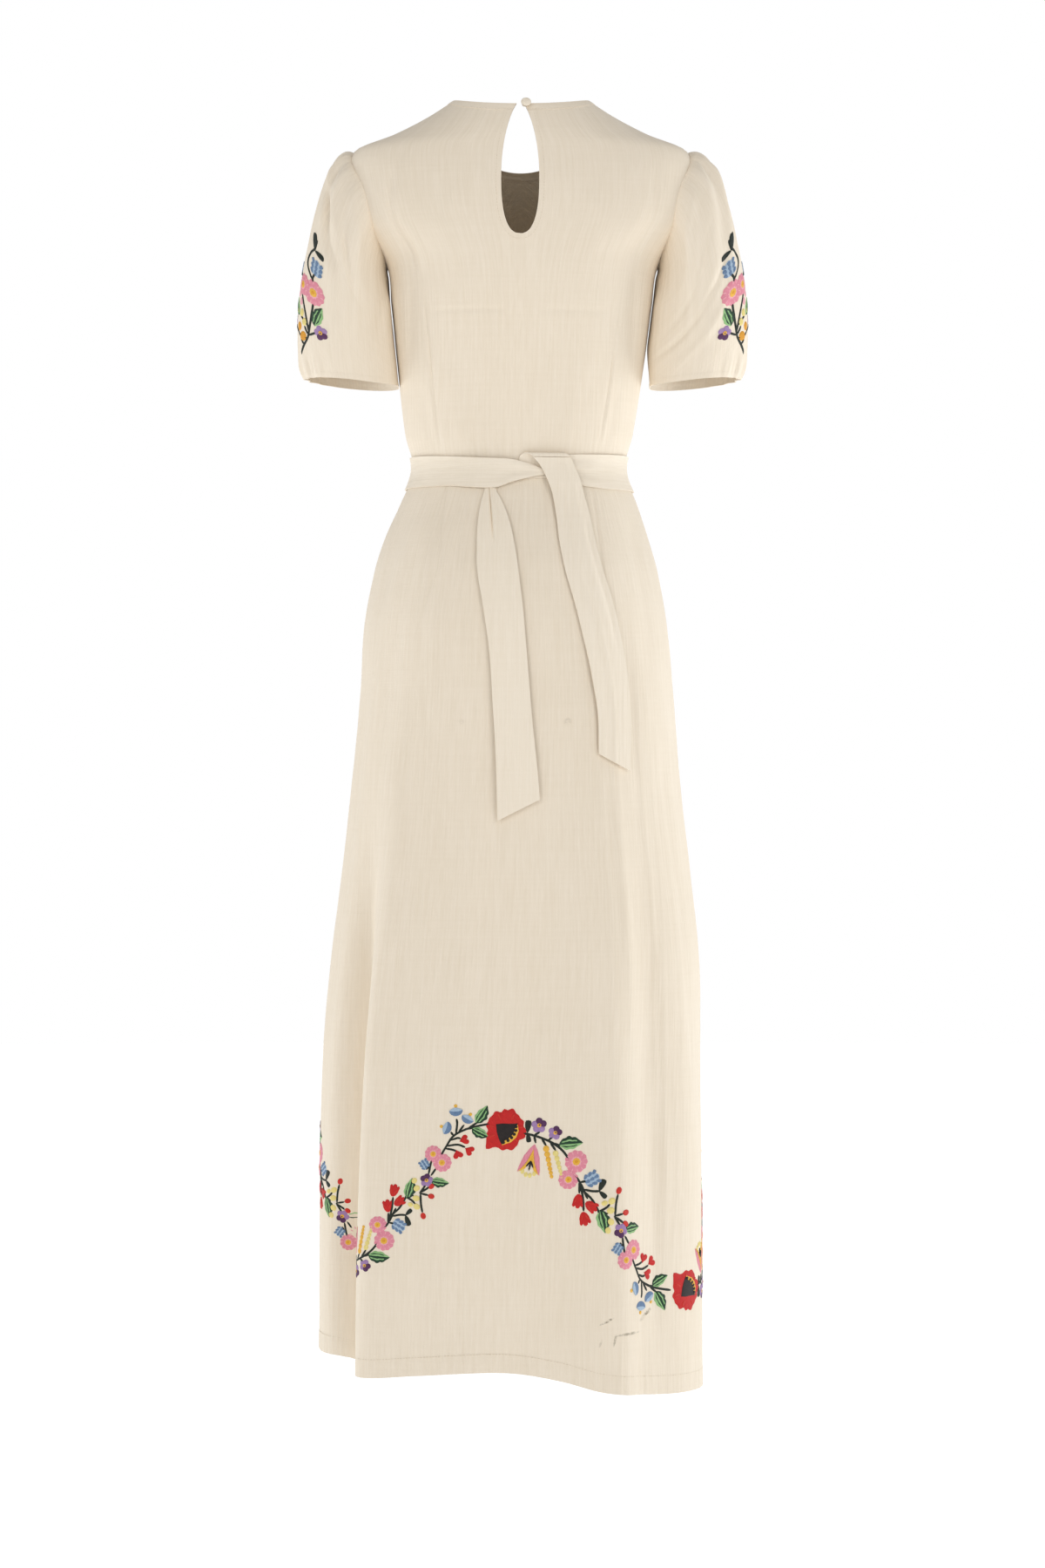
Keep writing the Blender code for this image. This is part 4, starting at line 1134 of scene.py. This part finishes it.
class Needlework:
    """Raised satin stitch, charted flat in metres, right and up, then laid on the cloth by place."""

    def __init__(self, name, place):
        self.name = name
        self.place = place
        self.points, self.maps, self.faces, self.threads = [], [], [], []
        self.count = 0
        self.spot = (0.0, 0.0)
        self.turn = 0.0
        self.size = 1.0
        self.chart = lambda right, up: (right, up)
        self.window = (-9.0, 9.0)

    def at(self, right, up, turn=0.0, size=1.0):
        """Set where the next shapes go, in millimetres of the chart."""
        self.spot, self.turn, self.size = (right, up), math.radians(turn), size
        return self

    def laid(self, flat):
        """Millimetres of a shape to metres on the chart."""
        flat = np.asarray(flat, float) * self.size
        cos, sin = math.cos(self.turn), math.sin(self.turn)
        right = (self.spot[0] + flat[:, 0] * cos - flat[:, 1] * sin) * MM
        up = (self.spot[1] + flat[:, 0] * sin + flat[:, 1] * cos) * MM
        return self.chart(right, up)

    def add(self, right, up, lift, cloth_map, faces, thread):
        """Keep a shape, if the middle of it is inside the window."""
        if not self.window[0] < float(np.mean(right)) < self.window[1]:
            return
        self.points.append(joined(right, up, lift))
        self.maps.append(cloth_map)
        self.faces += [tuple(self.count + i for i in face) for face in faces]
        self.threads += [thread] * len(faces)
        self.count += len(right)

    def patch(self, outline, thread, height=0.8, base=0.0, grain=0.0):
        """Padded patch. height and base are in millimetres, grain is the way that its threads lie."""
        outline = np.asarray(outline, float)
        count = len(outline)
        middle = outline.mean(axis=0)
        flat = [middle + (outline - middle) * share for share, _ in PATCH_STEPS] + [middle[None]] * 2
        lift = [np.full(count, base + height * rise if rise > 0 else rise) for _, rise in PATCH_STEPS]
        lift += [np.array([base + height]), np.array([PATCH_FOOT])]
        flat, lift = np.concatenate(flat), np.concatenate(lift)
        faces = tube_faces(len(PATCH_STEPS), count)[:-2]
        crown = len(PATCH_STEPS) * count
        top, foot = crown - count, crown + 1
        for i in range(count):
            j = (i + 1) % count
            faces += [(top + i, top + j, crown), (j, i, foot)]
        cos, sin = math.cos(math.radians(grain)), math.sin(math.radians(grain))
        local = flat * MM * self.size
        cloth_map = joined(local[:, 0] * cos + local[:, 1] * sin,
                           local[:, 1] * cos - local[:, 0] * sin)
        right, up = self.laid(flat)
        self.add(right, up, lift * MM, cloth_map + np.array(self.spot) * MM, faces, thread)

    def stem(self, points, width):
        """Corded line through points of the chart."""
        self.at(0, 0)
        points = np.asarray(points, float)
        steps = np.column_stack((np.arange(len(points)), points))
        count = max(4, int(np.linalg.norm(np.diff(points, axis=0), axis=1).sum() / STEM_STEP) + 1)
        line = smooth(steps, np.linspace(0, len(points) - 1, count))
        way = np.gradient(line, axis=0)
        way /= np.linalg.norm(way, axis=1, keepdims=True) + 1e-9
        side = joined(-way[:, 1], way[:, 0])
        taper = np.interp(np.arange(count), (0, 0.8, count - 1.8, count - 1),
                          (STEM_END, 1.0, 1.0, STEM_END))
        aside = np.array([p[0] for p in STEM_SECTION])
        flat = np.concatenate([line[i] + side[i] * (aside[:, None] * width * taper[i])
                               for i in range(count)])
        lift = np.concatenate([[p[1] * STEM_HEIGHT * (taper[i] if p[1] > 0 else 1) for p in STEM_SECTION]
                               for i in range(count)])
        across = len(STEM_SECTION)
        cloth_map = joined(np.repeat(run_along(line), across), np.tile(aside, count) * width)
        right, up = self.laid(flat)
        self.add(right, up, lift * MM, cloth_map * MM, tube_faces(count, across), "stem")

    def sew(self, stems, motifs, spots, stem_width):
        """Everything of one chart, apart from its strings of beads."""
        for line in stems:
            self.stem(line, stem_width)
        for motif, right, up, turn, size in motifs:
            motif(self.at(right, up, turn, size))
        for right, up, half_length, half_width, turn, thread in spots:
            self.at(right, up, turn).patch(round_outline(half_length, half_width, 12), thread, 0.8)

    def finish(self):
        """Lay everything on the cloth as one piece."""
        points = self.place(*np.concatenate(self.points).T)
        sewn_piece(self.name, points, self.faces, np.concatenate(self.maps), self.threads,
                   THREAD_SHARP_OVER)


def round_outline(half_width, half_height=None, count=16, lobes=0, depth=0.0):
    """Oval round its middle, with lobes if asked."""
    half_height = half_height or half_width
    t = np.linspace(0, math.tau, count, endpoint=False)
    swell = 1 + depth * np.cos(lobes * t)
    return joined(half_width * swell * np.cos(t), half_height * swell * np.sin(t))


def between(along, one_side, other_side, ends=0):
    """Outline between two curves over the same line. ends is 1 where the curves meet at both ends."""
    there, back = joined(along, one_side), joined(along, other_side)[::-1]
    return np.concatenate((there, back[ends:len(back) - ends]))


def drop_outline(length, width):
    """Petal that starts at a point and is widest past its middle."""
    t = np.linspace(0, math.pi, 8)
    half = width / 2 * np.sin(t * 0.5) ** 0.8 * np.sin(t) ** 0.5 * 1.3
    return between(length * (1 - np.cos(t)) / 2, half, -half, 1)


def leaf(work, length=26.0, width=13.5):
    """Leaf of a dark half with round lobes and a pale half, each with a vein in the other's thread."""
    t = np.linspace(0, 1, 17)
    lobes = 0.84 + 0.22 * np.abs(np.sin(math.pi * 3.5 * t))
    lobed = width * 0.62 * np.sin(math.pi * t ** 0.85) ** 0.8 * lobes
    plain = -width * 0.44 * np.sin(math.pi * t ** 0.8) * (1 + 0.09 * np.cos(2 * math.pi * 3 * t + 1))
    for half, thread, base in ((lobed, "green", 0.0), (plain, "mint", 0.05)):
        work.patch(between(t * length, half, -0.06 * half, 1), thread, 0.75, base, grain=55)
    vein = slice(2, 13)
    for half, thread in ((plain, "green"), (lobed, "mint")):
        outline = between(t[vein] * length, half[vein] * 0.56, half[vein] * 0.38)
        work.patch(outline, thread, 0.25, 0.66, grain=10)


def turned(outline, degrees, along=0.0, across=0.0):
    """A shape turned about its own start, then moved."""
    a = math.radians(degrees)
    spin = np.array(((math.cos(a), math.sin(a)), (-math.sin(a), math.cos(a))))
    return np.asarray(outline, float) @ spin + (along, across)


def poppy(work, radius=20.5):
    """Big ragged red bloom with a pointed petal, a dark shield and a yellow rim with dark dots."""
    t = np.linspace(0, math.tau, 72, endpoint=False)
    ragged = 1 + 0.055 * np.cos(5 * t + 0.5) + 0.050 * np.cos(8 * t + 2.2) + 0.030 * np.cos(15 * t)
    ragged += 0.40 * np.exp(-(((t - 3.95) / 0.15) ** 2)) + 0.12 * np.exp(-(((t - 1.65) / 0.12) ** 2))
    edge = joined(radius * ragged * np.cos(t), radius * 1.04 * ragged * np.sin(t))
    work.patch(edge, "red", 1.0, grain=35)
    for turn in (10, 62, 115, 165, 205, 262, 318):
        petal = round_outline(radius * 0.17, radius * 0.05, 10) + (radius * 0.76, 0.0)
        work.patch(turned(petal, turn), "scarlet", 0.30, 0.92, grain=turn)
    shield = ((-0.49, 0.30), (-0.18, 0.34), (0.20, 0.32), (0.61, 0.34), (0.62, -0.10), (0.46, -0.42),
              (0.16, -0.66), (-0.18, -0.75), (-0.32, -0.48), (-0.44, -0.10))
    work.patch(np.array(shield) * radius, "black", 0.45, 1.0, grain=80)
    outer = np.array(((0.61, 0.28), (0.68, -0.05), (0.57, -0.38), (0.30, -0.64), (-0.15, -0.79))) * radius
    inner = np.array(((0.50, 0.18), (0.46, -0.06), (0.34, -0.29), (0.13, -0.48), (-0.12, -0.62))) * radius
    for i in range(4):
        panel = np.stack((outer[i], outer[i + 1], inner[i + 1], inner[i]))
        work.patch(panel, "yellow", 0.30, 1.30, grain=20 * i)
    for step in np.linspace(0.15, 3.85, 6):
        along = np.array([np.interp(step, range(5), (0.7 * inner + 0.3 * outer)[:, i]) for i in (0, 1)])
        work.patch(round_outline(radius * 0.085, count=9) + along, "black", 0.30, 1.62)


def pansy(work, size=8.6):
    """Small flower of three lilac and two purple petals round a yellow eye."""
    for turn, thread in ((200, "lilac"), (270, "lilac"), (340, "lilac"), (58, "purple"), (125, "purple")):
        petal = round_outline(size * 0.46, size * 0.44, 12) + (size * 0.50, 0.0)
        work.patch(turned(petal, turn), thread, 0.75, 0.0 if thread == "lilac" else 0.1, grain=turn)
    work.patch(round_outline(size * 0.26, count=10), "yellow", 0.5, 0.7)
    work.patch(round_outline(size * 0.11, count=8) + (0.0, size * 0.06), "purple", 0.25, 1.15)


def pink_flower(work, radius=11.8):
    """Round scalloped bloom with paler rays and a yellow eye."""
    work.patch(round_outline(radius, count=44, lobes=11, depth=0.05), "pink", 0.85, grain=15)
    for i in range(11):
        ray = round_outline(radius * 0.17, radius * 0.055, 8) + (radius * 0.80, 0.0)
        work.patch(turned(ray, 360 * (i + 0.5) / 11), "rose", 0.2, 0.55, grain=33 * i)
    work.patch(round_outline(radius * 0.46, count=22, lobes=11, depth=0.10), "rose", 0.25, 0.82)
    work.patch(round_outline(radius * 0.34, count=16, lobes=8, depth=0.06), "yellow", 0.40, 0.98)
    work.patch(round_outline(radius * 0.15, count=8), "gold", 0.25, 1.32)


def feather(work, size=19.0):
    """Blue spike of curled petals on a paler ground, growing along +x."""
    work.patch(round_outline(size * 0.44, size * 0.40, 20, 5, 0.07), "sky", 0.55)
    for row in range(3):
        for place in (-1, 0, 1):
            petal = drop_outline(size * 0.30, size * 0.17)
            along = size * (0.27 * row - 0.43 + (0.05 if place else 0.0))
            petal = turned(petal, 32 * place, along, place * size * 0.20)
            work.patch(petal, "blue", 0.40, 0.45, grain=30 * place)


def tulip(work, size=14.5):
    """Red bud with three rounded tips, opening along +x."""
    side = ((0.0, 0.09), (0.16, 0.25), (0.40, 0.36), (0.64, 0.39), (0.84, 0.43), (0.97, 0.33),
            (0.86, 0.18), (1.01, 0.13))
    outline = side + ((1.07, 0.0),) + tuple((along, -across) for along, across in side[::-1])
    work.patch((np.array(outline) - (0.5, 0.0)) * size, "red", 0.8, grain=90)
    for turn in (-24, 24):
        streak = round_outline(size * 0.26, size * 0.05, 10) + (size * 0.44, 0.0)
        work.patch(turned(streak, turn, -size * 0.48), "scarlet", 0.25, 0.72, grain=turn)


def heart(work, size=9.5):
    """Red heart, its point towards -x."""
    t = np.linspace(0, math.tau, 22, endpoint=False)
    across = 16 * np.sin(t) ** 3
    along = 13 * np.cos(t) - 5 * np.cos(2 * t) - 2 * np.cos(3 * t) - np.cos(4 * t)
    work.patch(joined(along, across) * size / 32, "red", 0.8, grain=90)


def bell(work, size=13.0):
    """Blue bell with a pale rim and a yellow clapper, opening along +x."""
    t = np.linspace(-math.pi / 2, math.pi / 2, 9)
    dome = joined(-size * 0.42 * np.cos(t), size * 0.48 * np.sin(t))
    rim = np.array(((size * 0.10, size * 0.34), (size * 0.20, 0.0), (size * 0.10, -size * 0.34)))
    work.patch(round_outline(size * 0.13, count=9) + (size * 0.34, 0.0), "yellow", 0.6)
    work.patch(np.concatenate((dome, rim)), "blue", 0.75, 0.1, grain=90)
    pale = np.array(((0.0, 0.47), (0.10, 0.34), (0.20, 0.10), (0.22, -0.10), (0.10, -0.34), (0.0, -0.47),
                     (-0.06, -0.2), (-0.07, 0.2))) * size
    work.patch(pale, "sky", 0.3, 0.75, grain=90)


def beads(work, count, first, last, thread):
    """String of round spots that get smaller along +x."""
    along = 0.0
    for i in range(count):
        radius = first + (last - first) * i / (count - 1)
        work.patch(round_outline(radius, radius * 0.92, 10) + (along, 0.0), thread, 0.75)
        along += 1.7 * radius


def bell_tulip(work, size=33.0):
    """Hanging flower: a pink hood, an orange lining, a pale fringe and dark stamens. Opens along +x."""
    for side in (-1, 1):
        hood = np.array(((0.0, 0.0), (0.16, 0.12), (0.42, 0.25), (0.80, 0.34), (0.98, 0.36), (0.80, 0.22),
                         (0.46, 0.08), (0.20, 0.0))) * size
        lining = np.array(((0.16, 0.0), (0.46, 0.07), (0.78, 0.20), (0.97, 0.33), (0.84, 0.14), (0.56, 0.0),
                           (0.36, 0.0))) * size
        work.patch(hood * (1, side), "pink", 0.8, grain=70 * side)
        work.patch(lining * (1, side), "yellow", 0.6, 0.2, grain=60 * side)
    for along, across in ((0.94, 0.19), (1.02, 0.065), (1.02, -0.065), (0.94, -0.19)):
        bead = round_outline(size * 0.085, size * 0.062, 10) + (along * size, across * size)
        work.patch(bead, "lemon", 0.6)
    for turn, length in ((28, 0.25), (0, 0.33), (-28, 0.25)):
        stamen = round_outline(size * length / 2, size * 0.028, 8) + (size * length / 2, 0.0)
        work.patch(turned(stamen, turn, 0.55 * size), "black", 0.6, 0.7)


def sprig(work, size=14.5, spread=110):
    """Pair of dark leaflets on one stalk, growing along +x."""
    for side, length in ((1, size), (-1, size * 0.78)):
        turn = side * spread / 2
        work.patch(turned(drop_outline(length, length * 0.46), turn), "stem", 0.75, grain=turn)


def open_sprig(work):
    """Sprig with its leaflets spread wide."""
    sprig(work, 13.5, 165)


# One garland repeat, falling from its first bloom: motif, right, up, turn, size. Millimetres and degrees.
MOTIFS = (
    (poppy, 0, 0, 0, 1.0), (open_sprig, 23, -3, 4, 1.0), (pansy, 35, 5, -35, 1.0),
    (pansy, 52, -3, -50, 0.92), (leaf, 56, -16, 4, 1.0), (bell_tulip, 31, -15, -101, 1.0),
    (pink_flower, 75, -34, 0, 1.0), (pink_flower, 67, -53, 20, 0.86), (feather, 92, -53, 30, 1.0),
    (sprig, 100, -66, 12, 0.95), (tulip, 78, -76, -95, 1.0), (tulip, 92, -82, -35, 1.0),
    (tulip, 85, -95, -75, 1.0), (leaf, 101, -86, -76, 1.0), (pansy, 125, -109, 150, 1.0),
    (leaf, 130, -109, 6, 0.85), (feather, 122, -128, -125, 0.74), (pink_flower, 143, -131, 0, 0.92),
    (pink_flower, 132, -141, 30, 0.84), (heart, 161, -141, 70, 1.25), (heart, 174, -146, 30, 1.25),
    (heart, 168, -159, -20, 1.25), (bell, 146, -173, -165, 1.25), (bell, 157, -194, -95, 1.25),
    (bell, 171, -185, -60, 1.2), (leaf, 176, -173, 28, 0.85), (leaf, 180, -179, -60, 0.95),
)
STEMS = (
    ((16, -3), (30, -6), (46, -12), (58, -20), (66, -30), (70, -42)), ((30, -6), (36, -2)),
    ((30, -6), (32, -14)), ((38, -9), (43, -17)), ((45, -11), (52, -5)), ((47, -13), (53, -22)),
    ((50, -14), (58, -17)), ((70, -46), (78, -54), (84, -66), (92, -74), (98, -84), (102, -92)),
    ((80, -56), (87, -55)), ((84, -64), (93, -66), (101, -66)), ((79, -55), (79, -68)),
    ((80, -57), (88, -74)), ((80, -57), (83, -74), (84, -87)), ((100, -88), (108, -84), (112, -80)),
    ((101, -90), (110, -90)), ((101, -92), (109, -99)), ((102, -92), (108, -106)),
    ((118, -93), (119, -80), (121, -70)), ((118, -93), (128, -91)), ((118, -94), (124, -98), (128, -101)),
    ((117, -93), (121, -99), (124, -104)), ((127, -116), (129, -128), (131, -136)),
    ((130, -115), (136, -124)), ((124, -122), (127, -126)),
    ((141, -139), (147, -150), (155, -163), (168, -171), (184, -176), (200, -179)),
    ((146, -148), (154, -147), (159, -145)), ((148, -151), (160, -153), (169, -150)),
    ((152, -158), (160, -161), (164, -160)), ((155, -164), (152, -168)),
    ((158, -166), (159, -178), (158, -184)), ((161, -168), (167, -177)), ((168, -172), (177, -173)),
    ((172, -173), (182, -180)),
)
SPOTS = (  # round spots: right, up, half length, half width, turn, thread
    (114, -77, 4.3, 3.5, 30, "lemon"), (113, -87, 4.4, 3.6, 10, "lemon"),
    (113, -99, 4.4, 3.6, -30, "lemon"), (110, -108, 4.0, 3.3, -50, "lemon"),
    (106, -79, 3.4, 2.8, 20, "lemon"), (122, -66, 4.0, 3.2, 70, "scarlet"),
    (131, -90, 4.0, 3.2, 10, "scarlet"), (131, -102, 4.0, 3.0, -40, "scarlet"),
)
STRINGS = (  # strings of spots: right, up, turn, count, first and last radius, thread
    (43, -20, -78, 7, 3.6, 2.1, "yellow"), (53, -25, -74, 7, 3.3, 1.7, "lemon"),
)
# Garland halves round the hem: start and length along the cloth, height of its peak and valley, whether it
# falls, and the part of the cloth it shows on, since the deep fold at the left hides the rest
HALVES = (
    (0.005, 0.230, -1.1353, -1.3167, True, -9.0, 9.0),
    (0.237, 0.240, -1.1370, -1.3167, False, -9.0, 9.0),
    (0.477, 0.232, -1.1370, -1.3120, True, -9.0, 9.0),
    (0.709, 0.245, -1.1370, -1.3120, False, -9.0, 9.0),
    (-0.378, 0.222, -1.1423, -1.3040, True, -9.0, -0.238),
    (-0.201, 0.214, -1.1265, -1.2880, False, -0.196, 9.0),
)
REPEAT_LENGTH = 0.222
REPEAT_DROP = 0.181
STEM_WIDTH = 2.7
# Lengths along the cloth by angle, at the height of the garland's valleys
ARC_Z = -1.30
ARC_ANGLES = np.linspace(-180, 540, 7201)
ARC = run_along(skirt_surface(ARC_ANGLES, np.full_like(ARC_ANGLES, ARC_Z)))
ARC -= np.interp(0, ARC_ANGLES, ARC)


def on_skirt(right, up, lift):
    """Chart of the skirt, along the hem and by height, on the outside of its cloth."""
    return skirt_surface(np.interp(right, ARC, ARC_ANGLES), up, CLOTH / 2 + lift)


def garland(name, halves):
    """One piece of the garland, with each of its halves stretched to its place."""
    work = Needlework(name, on_skirt)
    for start, length, peak, valley, falls, low, high in halves:
        stretch, rise = length / REPEAT_LENGTH, (peak - valley) / REPEAT_DROP
        work.window = (low, high)
        work.chart = lambda right, up: (start + right * stretch,
                                        peak + up * rise if falls else valley - up * rise)
        work.sew(STEMS, MOTIFS, SPOTS, STEM_WIDTH)
        for right, up, turn, *string in STRINGS:
            beads(work.at(right, up, turn), *string)
    work.finish()


SPRAY_MOTIFS = (  # right is towards the back of the dress, up from the foot of the spray
    (sprig, 30, 124, 54, 1.35), (feather, 36, 105, 88, 1.20), (pink_flower, 35, 73, 10, 1.30),
    (pink_flower, 15, 76, 0, 1.05), (leaf, 37, 31, 68, 1.15), (pansy, 46, 24, 200, 1.20),
    (leaf, 8, 40, 122, 0.9), (feather, -8, 92, 112, 0.85), (pansy, -16, 34, 20, 1.0),
)
SPRAY_STEMS = (
    ((11, -5), (18, 6), (26, 16), (30, 30), (33, 46), (35, 60)), ((28, 22), (24, 40), (18, 56), (13, 66)),
    ((34, 84), (32, 90), (35, 98)), ((32, 88), (21, 99), (19, 108), (23, 118), (29, 126), (31, 138)),
    ((28, 18), (35, 21), (41, 24)), ((18, 6), (15, 10), (13, 14)), ((27, 18), (23, 24), (21, 28)),
    ((29, 28), (18, 36), (13, 39)), ((24, 14), (8, 18), (-6, 26), (-12, 31)),
    ((13, 84), (2, 86), (-4, 88)),
)
SPRAY_SPOTS = (
    (17, 16, 6.2, 5.6, 20, "gold"), (8, 27, 6.0, 5.2, 10, "gold"), (21, 33, 5.0, 4.6, 40, "lemon"),
    (15, 43, 5.0, 4.2, 70, "lemon"), (5, 46, 4.4, 3.6, 80, "lemon"), (13, 56, 4.4, 3.4, 90, "rose"),
    (6, 64, 3.8, 3.0, 60, "rose"),
)
SPRAY_FOOT_Z = -0.2780
SPRAY_STEM_WIDTH = 3.1
SPRAY_STRETCH = 1.06
SPRAY_SHIFT = 0.011       # distance that the spray lies round towards the back


def sleeve_spray(name, side):
    """Spray along the top line of a sleeve, upright from its foot above the cuff."""
    steps = np.linspace(0, 1, 401)
    top_line, _ = sleeve_point(side, np.zeros_like(steps), steps)
    run = run_along(top_line)
    late = steps > 0.4
    foot = np.interp(-SPRAY_FOOT_Z, -top_line[late, 2], run[late])

    def on_sleeve(right, up, lift):
        down = np.interp(foot - up, run, steps)
        return sleeve_point(side, (right / SLEEVE_GIRTH) % 1.0, down, CLOTH / 2 + lift)[0]

    work = Needlework(name, on_sleeve)
    work.chart = lambda right, up: (SPRAY_STRETCH * right + SPRAY_SHIFT, up)
    work.sew(SPRAY_STEMS, SPRAY_MOTIFS, SPRAY_SPOTS, SPRAY_STEM_WIDTH)
    work.finish()


garland("hem_garland_back", [HALVES[0], HALVES[5]])
garland("hem_garland_right", [HALVES[1], HALVES[2]])
garland("hem_garland_left", [HALVES[3], HALVES[4]])
sleeve_spray("sleeve_spray_left", -1)
sleeve_spray("sleeve_spray_right", 1)


# Stitches: length, gap and width of one, its section, and its share and thickness at each ring along it
STITCH_LENGTH = 0.0024
STITCH_GAP = 0.0011
STITCH_WIDTH = 0.00050
STITCH_SECTION = np.array(((-0.5, -0.5), (-0.42, 0.35), (0.0, 0.65), (0.42, 0.35), (0.5, -0.5)))
STITCH_RINGS = np.array((0.0, 0.16, 0.84, 1.0))
STITCH_TAPER = np.array((0.45, 1.0, 1.0, 0.45))
ROW_STEPS = 1500


def stitches(name, lines):
    """Rows of short raised stitches. Each line gives the points of its row for shares 0 to 1 and a lift."""
    shares = np.linspace(0, 1, ROW_STEPS)
    rings, across = len(STITCH_RINGS), len(STITCH_SECTION)
    thick = STITCH_TAPER[None, :, None, None] * STITCH_WIDTH
    points = []
    for line in lines:
        low, high = line(shares, 0.0), line(shares, MM)
        run = run_along(low)
        starts = np.arange(0, run[-1] - STITCH_LENGTH, STITCH_LENGTH + STITCH_GAP)
        places = starts[:, None] + STITCH_LENGTH * STITCH_RINGS
        spot = np.stack([np.interp(places, run, low[:, i]) for i in range(3)], axis=-1)
        up = np.stack([np.interp(places, run, high[:, i] - low[:, i]) for i in range(3)], axis=-1)
        up /= np.linalg.norm(up, axis=-1, keepdims=True)
        way = spot[:, 3:] - spot[:, :1]
        aside = np.cross(up, way / np.linalg.norm(way, axis=-1, keepdims=True))
        points.append((spot[:, :, None] + aside[:, :, None] * STITCH_SECTION[:, 0, None] * thick
                       + up[:, :, None] * STITCH_SECTION[:, 1, None] * thick).reshape(-1, 3))
    points = np.concatenate(points)
    starts = range(0, len(points), rings * across)
    faces = [tuple(first + i for i in face) for first in starts for face in tube_faces(rings, across)]
    cloth_map = joined(np.tile(STITCH_SECTION[:, 0] * STITCH_WIDTH, len(points) // across),
                       np.arange(len(points)) // across * STITCH_LENGTH / 3)
    sewn_piece(name, points, faces, cloth_map, ["cream"] * len(faces))


def keyhole_row(shares, lift):
    """Round the keyhole, a little inside the edge of its turned cloth."""
    inset = FACING_WIDTH - 0.0012
    t = np.abs(2 * shares - 1)
    top, bottom = KEYHOLE_TOP_Z - 0.012, KEYHOLE_BOTTOM_Z - inset
    z = bottom + (top - bottom) * t ** 1.9
    side = np.where(shares < 0.5, -1, 1)
    grown = np.zeros_like(z)
    for step in np.linspace(0, math.pi, 41):
        reach = keyhole_half_width(z - inset * math.cos(step))
        grown = np.maximum(grown, np.where(reach > 0, reach + inset * math.sin(step), 0.0))
    whole = angle_at(KEYHOLE_X + side * grown, z)
    out = crease_depth(BODICE_CREASES, whole, z) + CRINKLE * crinkle(whole * girth(z), z)
    return body_point(whole, z, out + CLOTH / 2 + FACING_LIFT + lift)


def neck_row(front, side):
    """Along the lower edge of the neck binding."""
    down = np.full(ROW_STEPS, 0.80)
    return lambda shares, lift: binding_point(front, side, 0.02 + 0.97 * shares, down,
                                              BINDING / 2 + lift)[0]


stitches("keyhole_stitches", [keyhole_row])
stitches("neck_stitches", [neck_row(front, side) for front in (False, True) for side in (-1, 1)])
for side, word in ((-1, "left"), (1, "right")):
    stitches("cuff_stitches_" + word, [lambda shares, lift: sleeve_point(
        side, shares % 1.0, CUFF_HEM_SHARE, CLOTH / 2 + lift)[0]])
stitches("hem_stitches", [lambda shares, lift: skirt_surface(
    360 * shares - 90, hem_z(360 * shares - 90) + HEM_STITCH_Z, CLOTH / 2 + lift)])


# Stage
FLOOR_Z = -1.95
WHITE = (1.0, 1.0, 1.0)
COOL = (0.93, 0.965, 1.0)
MIDDLE = (0.0, 0.0, -0.75)
UPPER = (0.0, 0.0, -0.55)
SKY_GLOW = 0.30           # light of the white surroundings, which look plain white to the camera
CAMERA_PLACE = (0.0, -4.5, -0.7625)
LENS = 92.3


def stage():
    """Plain pale floor, well below the hem."""
    alone()
    bpy.ops.mesh.primitive_circle_add(vertices=96, radius=14.0, fill_type="NGON",
                                      location=(0.0, 0.0, FLOOR_Z))
    floor = bpy.context.object
    floor.name = "studio_floor"
    bpy.ops.object.transform_apply(location=True, rotation=True, scale=True)
    paint = Finish("studio_paint", 0.95)
    paint.shader.inputs["Base Color"].default_value = (0.30, 0.30, 0.30, 1.0)
    paint.shader.inputs["Emission Color"].default_value = (*WHITE, 1.0)
    paint.shader.inputs["Emission Strength"].default_value = 0.98
    floor.data.materials.append(paint.material)


def area_light(name, place, target, size, power_watts, colour=WHITE):
    """Soft rectangular light that looks at a point."""
    bpy.ops.object.light_add(type="AREA", location=place)
    lamp = bpy.context.object
    lamp.name = name
    lamp.data.shape = "RECTANGLE"
    lamp.data.size, lamp.data.size_y = size
    lamp.data.energy = power_watts
    lamp.data.color = colour
    away = np.array(place) - np.array(target)
    flat = math.hypot(away[0], away[1])
    lamp.rotation_euler = (math.atan2(flat, away[2]), 0.0, math.atan2(away[1], away[0]) + math.pi / 2)


stage()
area_light("front_soft_box_left", (-1.9, -3.4, 0.6), UPPER, (1.5, 1.5), 28)
area_light("front_soft_box_right", (1.9, -3.4, 0.6), UPPER, (1.5, 1.5), 29)
area_light("overhead_soft_box", (0.0, -0.6, 2.0), UPPER, (1.2, 1.2), 7)
area_light("side_strip_left", (-2.1, 0.6, -0.8), MIDDLE, (0.7, 2.0), 17, COOL)
area_light("side_strip_right", (2.1, 0.5, -0.7), MIDDLE, (0.7, 2.0), 24, COOL)
area_light("far_soft_box", (0.0, 3.6, 0.9), UPPER, (1.8, 1.8), 14)
world = bpy.data.worlds.new("studio")
world.use_nodes = True
sky = world.node_tree
sky.nodes["Background"].inputs["Color"].default_value = (*WHITE, 1.0)
seen = sky.nodes.new("ShaderNodeLightPath")
strength = sky.nodes.new("ShaderNodeMapRange")
strength.inputs["To Min"].default_value = SKY_GLOW
strength.inputs["To Max"].default_value = 1.0
sky.links.new(seen.outputs["Is Camera Ray"], strength.inputs["Value"])
sky.links.new(strength.outputs["Result"], sky.nodes["Background"].inputs["Strength"])
bpy.context.scene.world = world
bpy.context.scene.view_settings.view_transform = "Standard"

bpy.ops.object.camera_add(location=CAMERA_PLACE, rotation=(math.pi / 2, 0.0, 0.0))
camera = bpy.context.object
camera.name = "camera"
camera.data.lens = LENS
camera.data.sensor_width = 36.0
bpy.context.scene.camera = camera
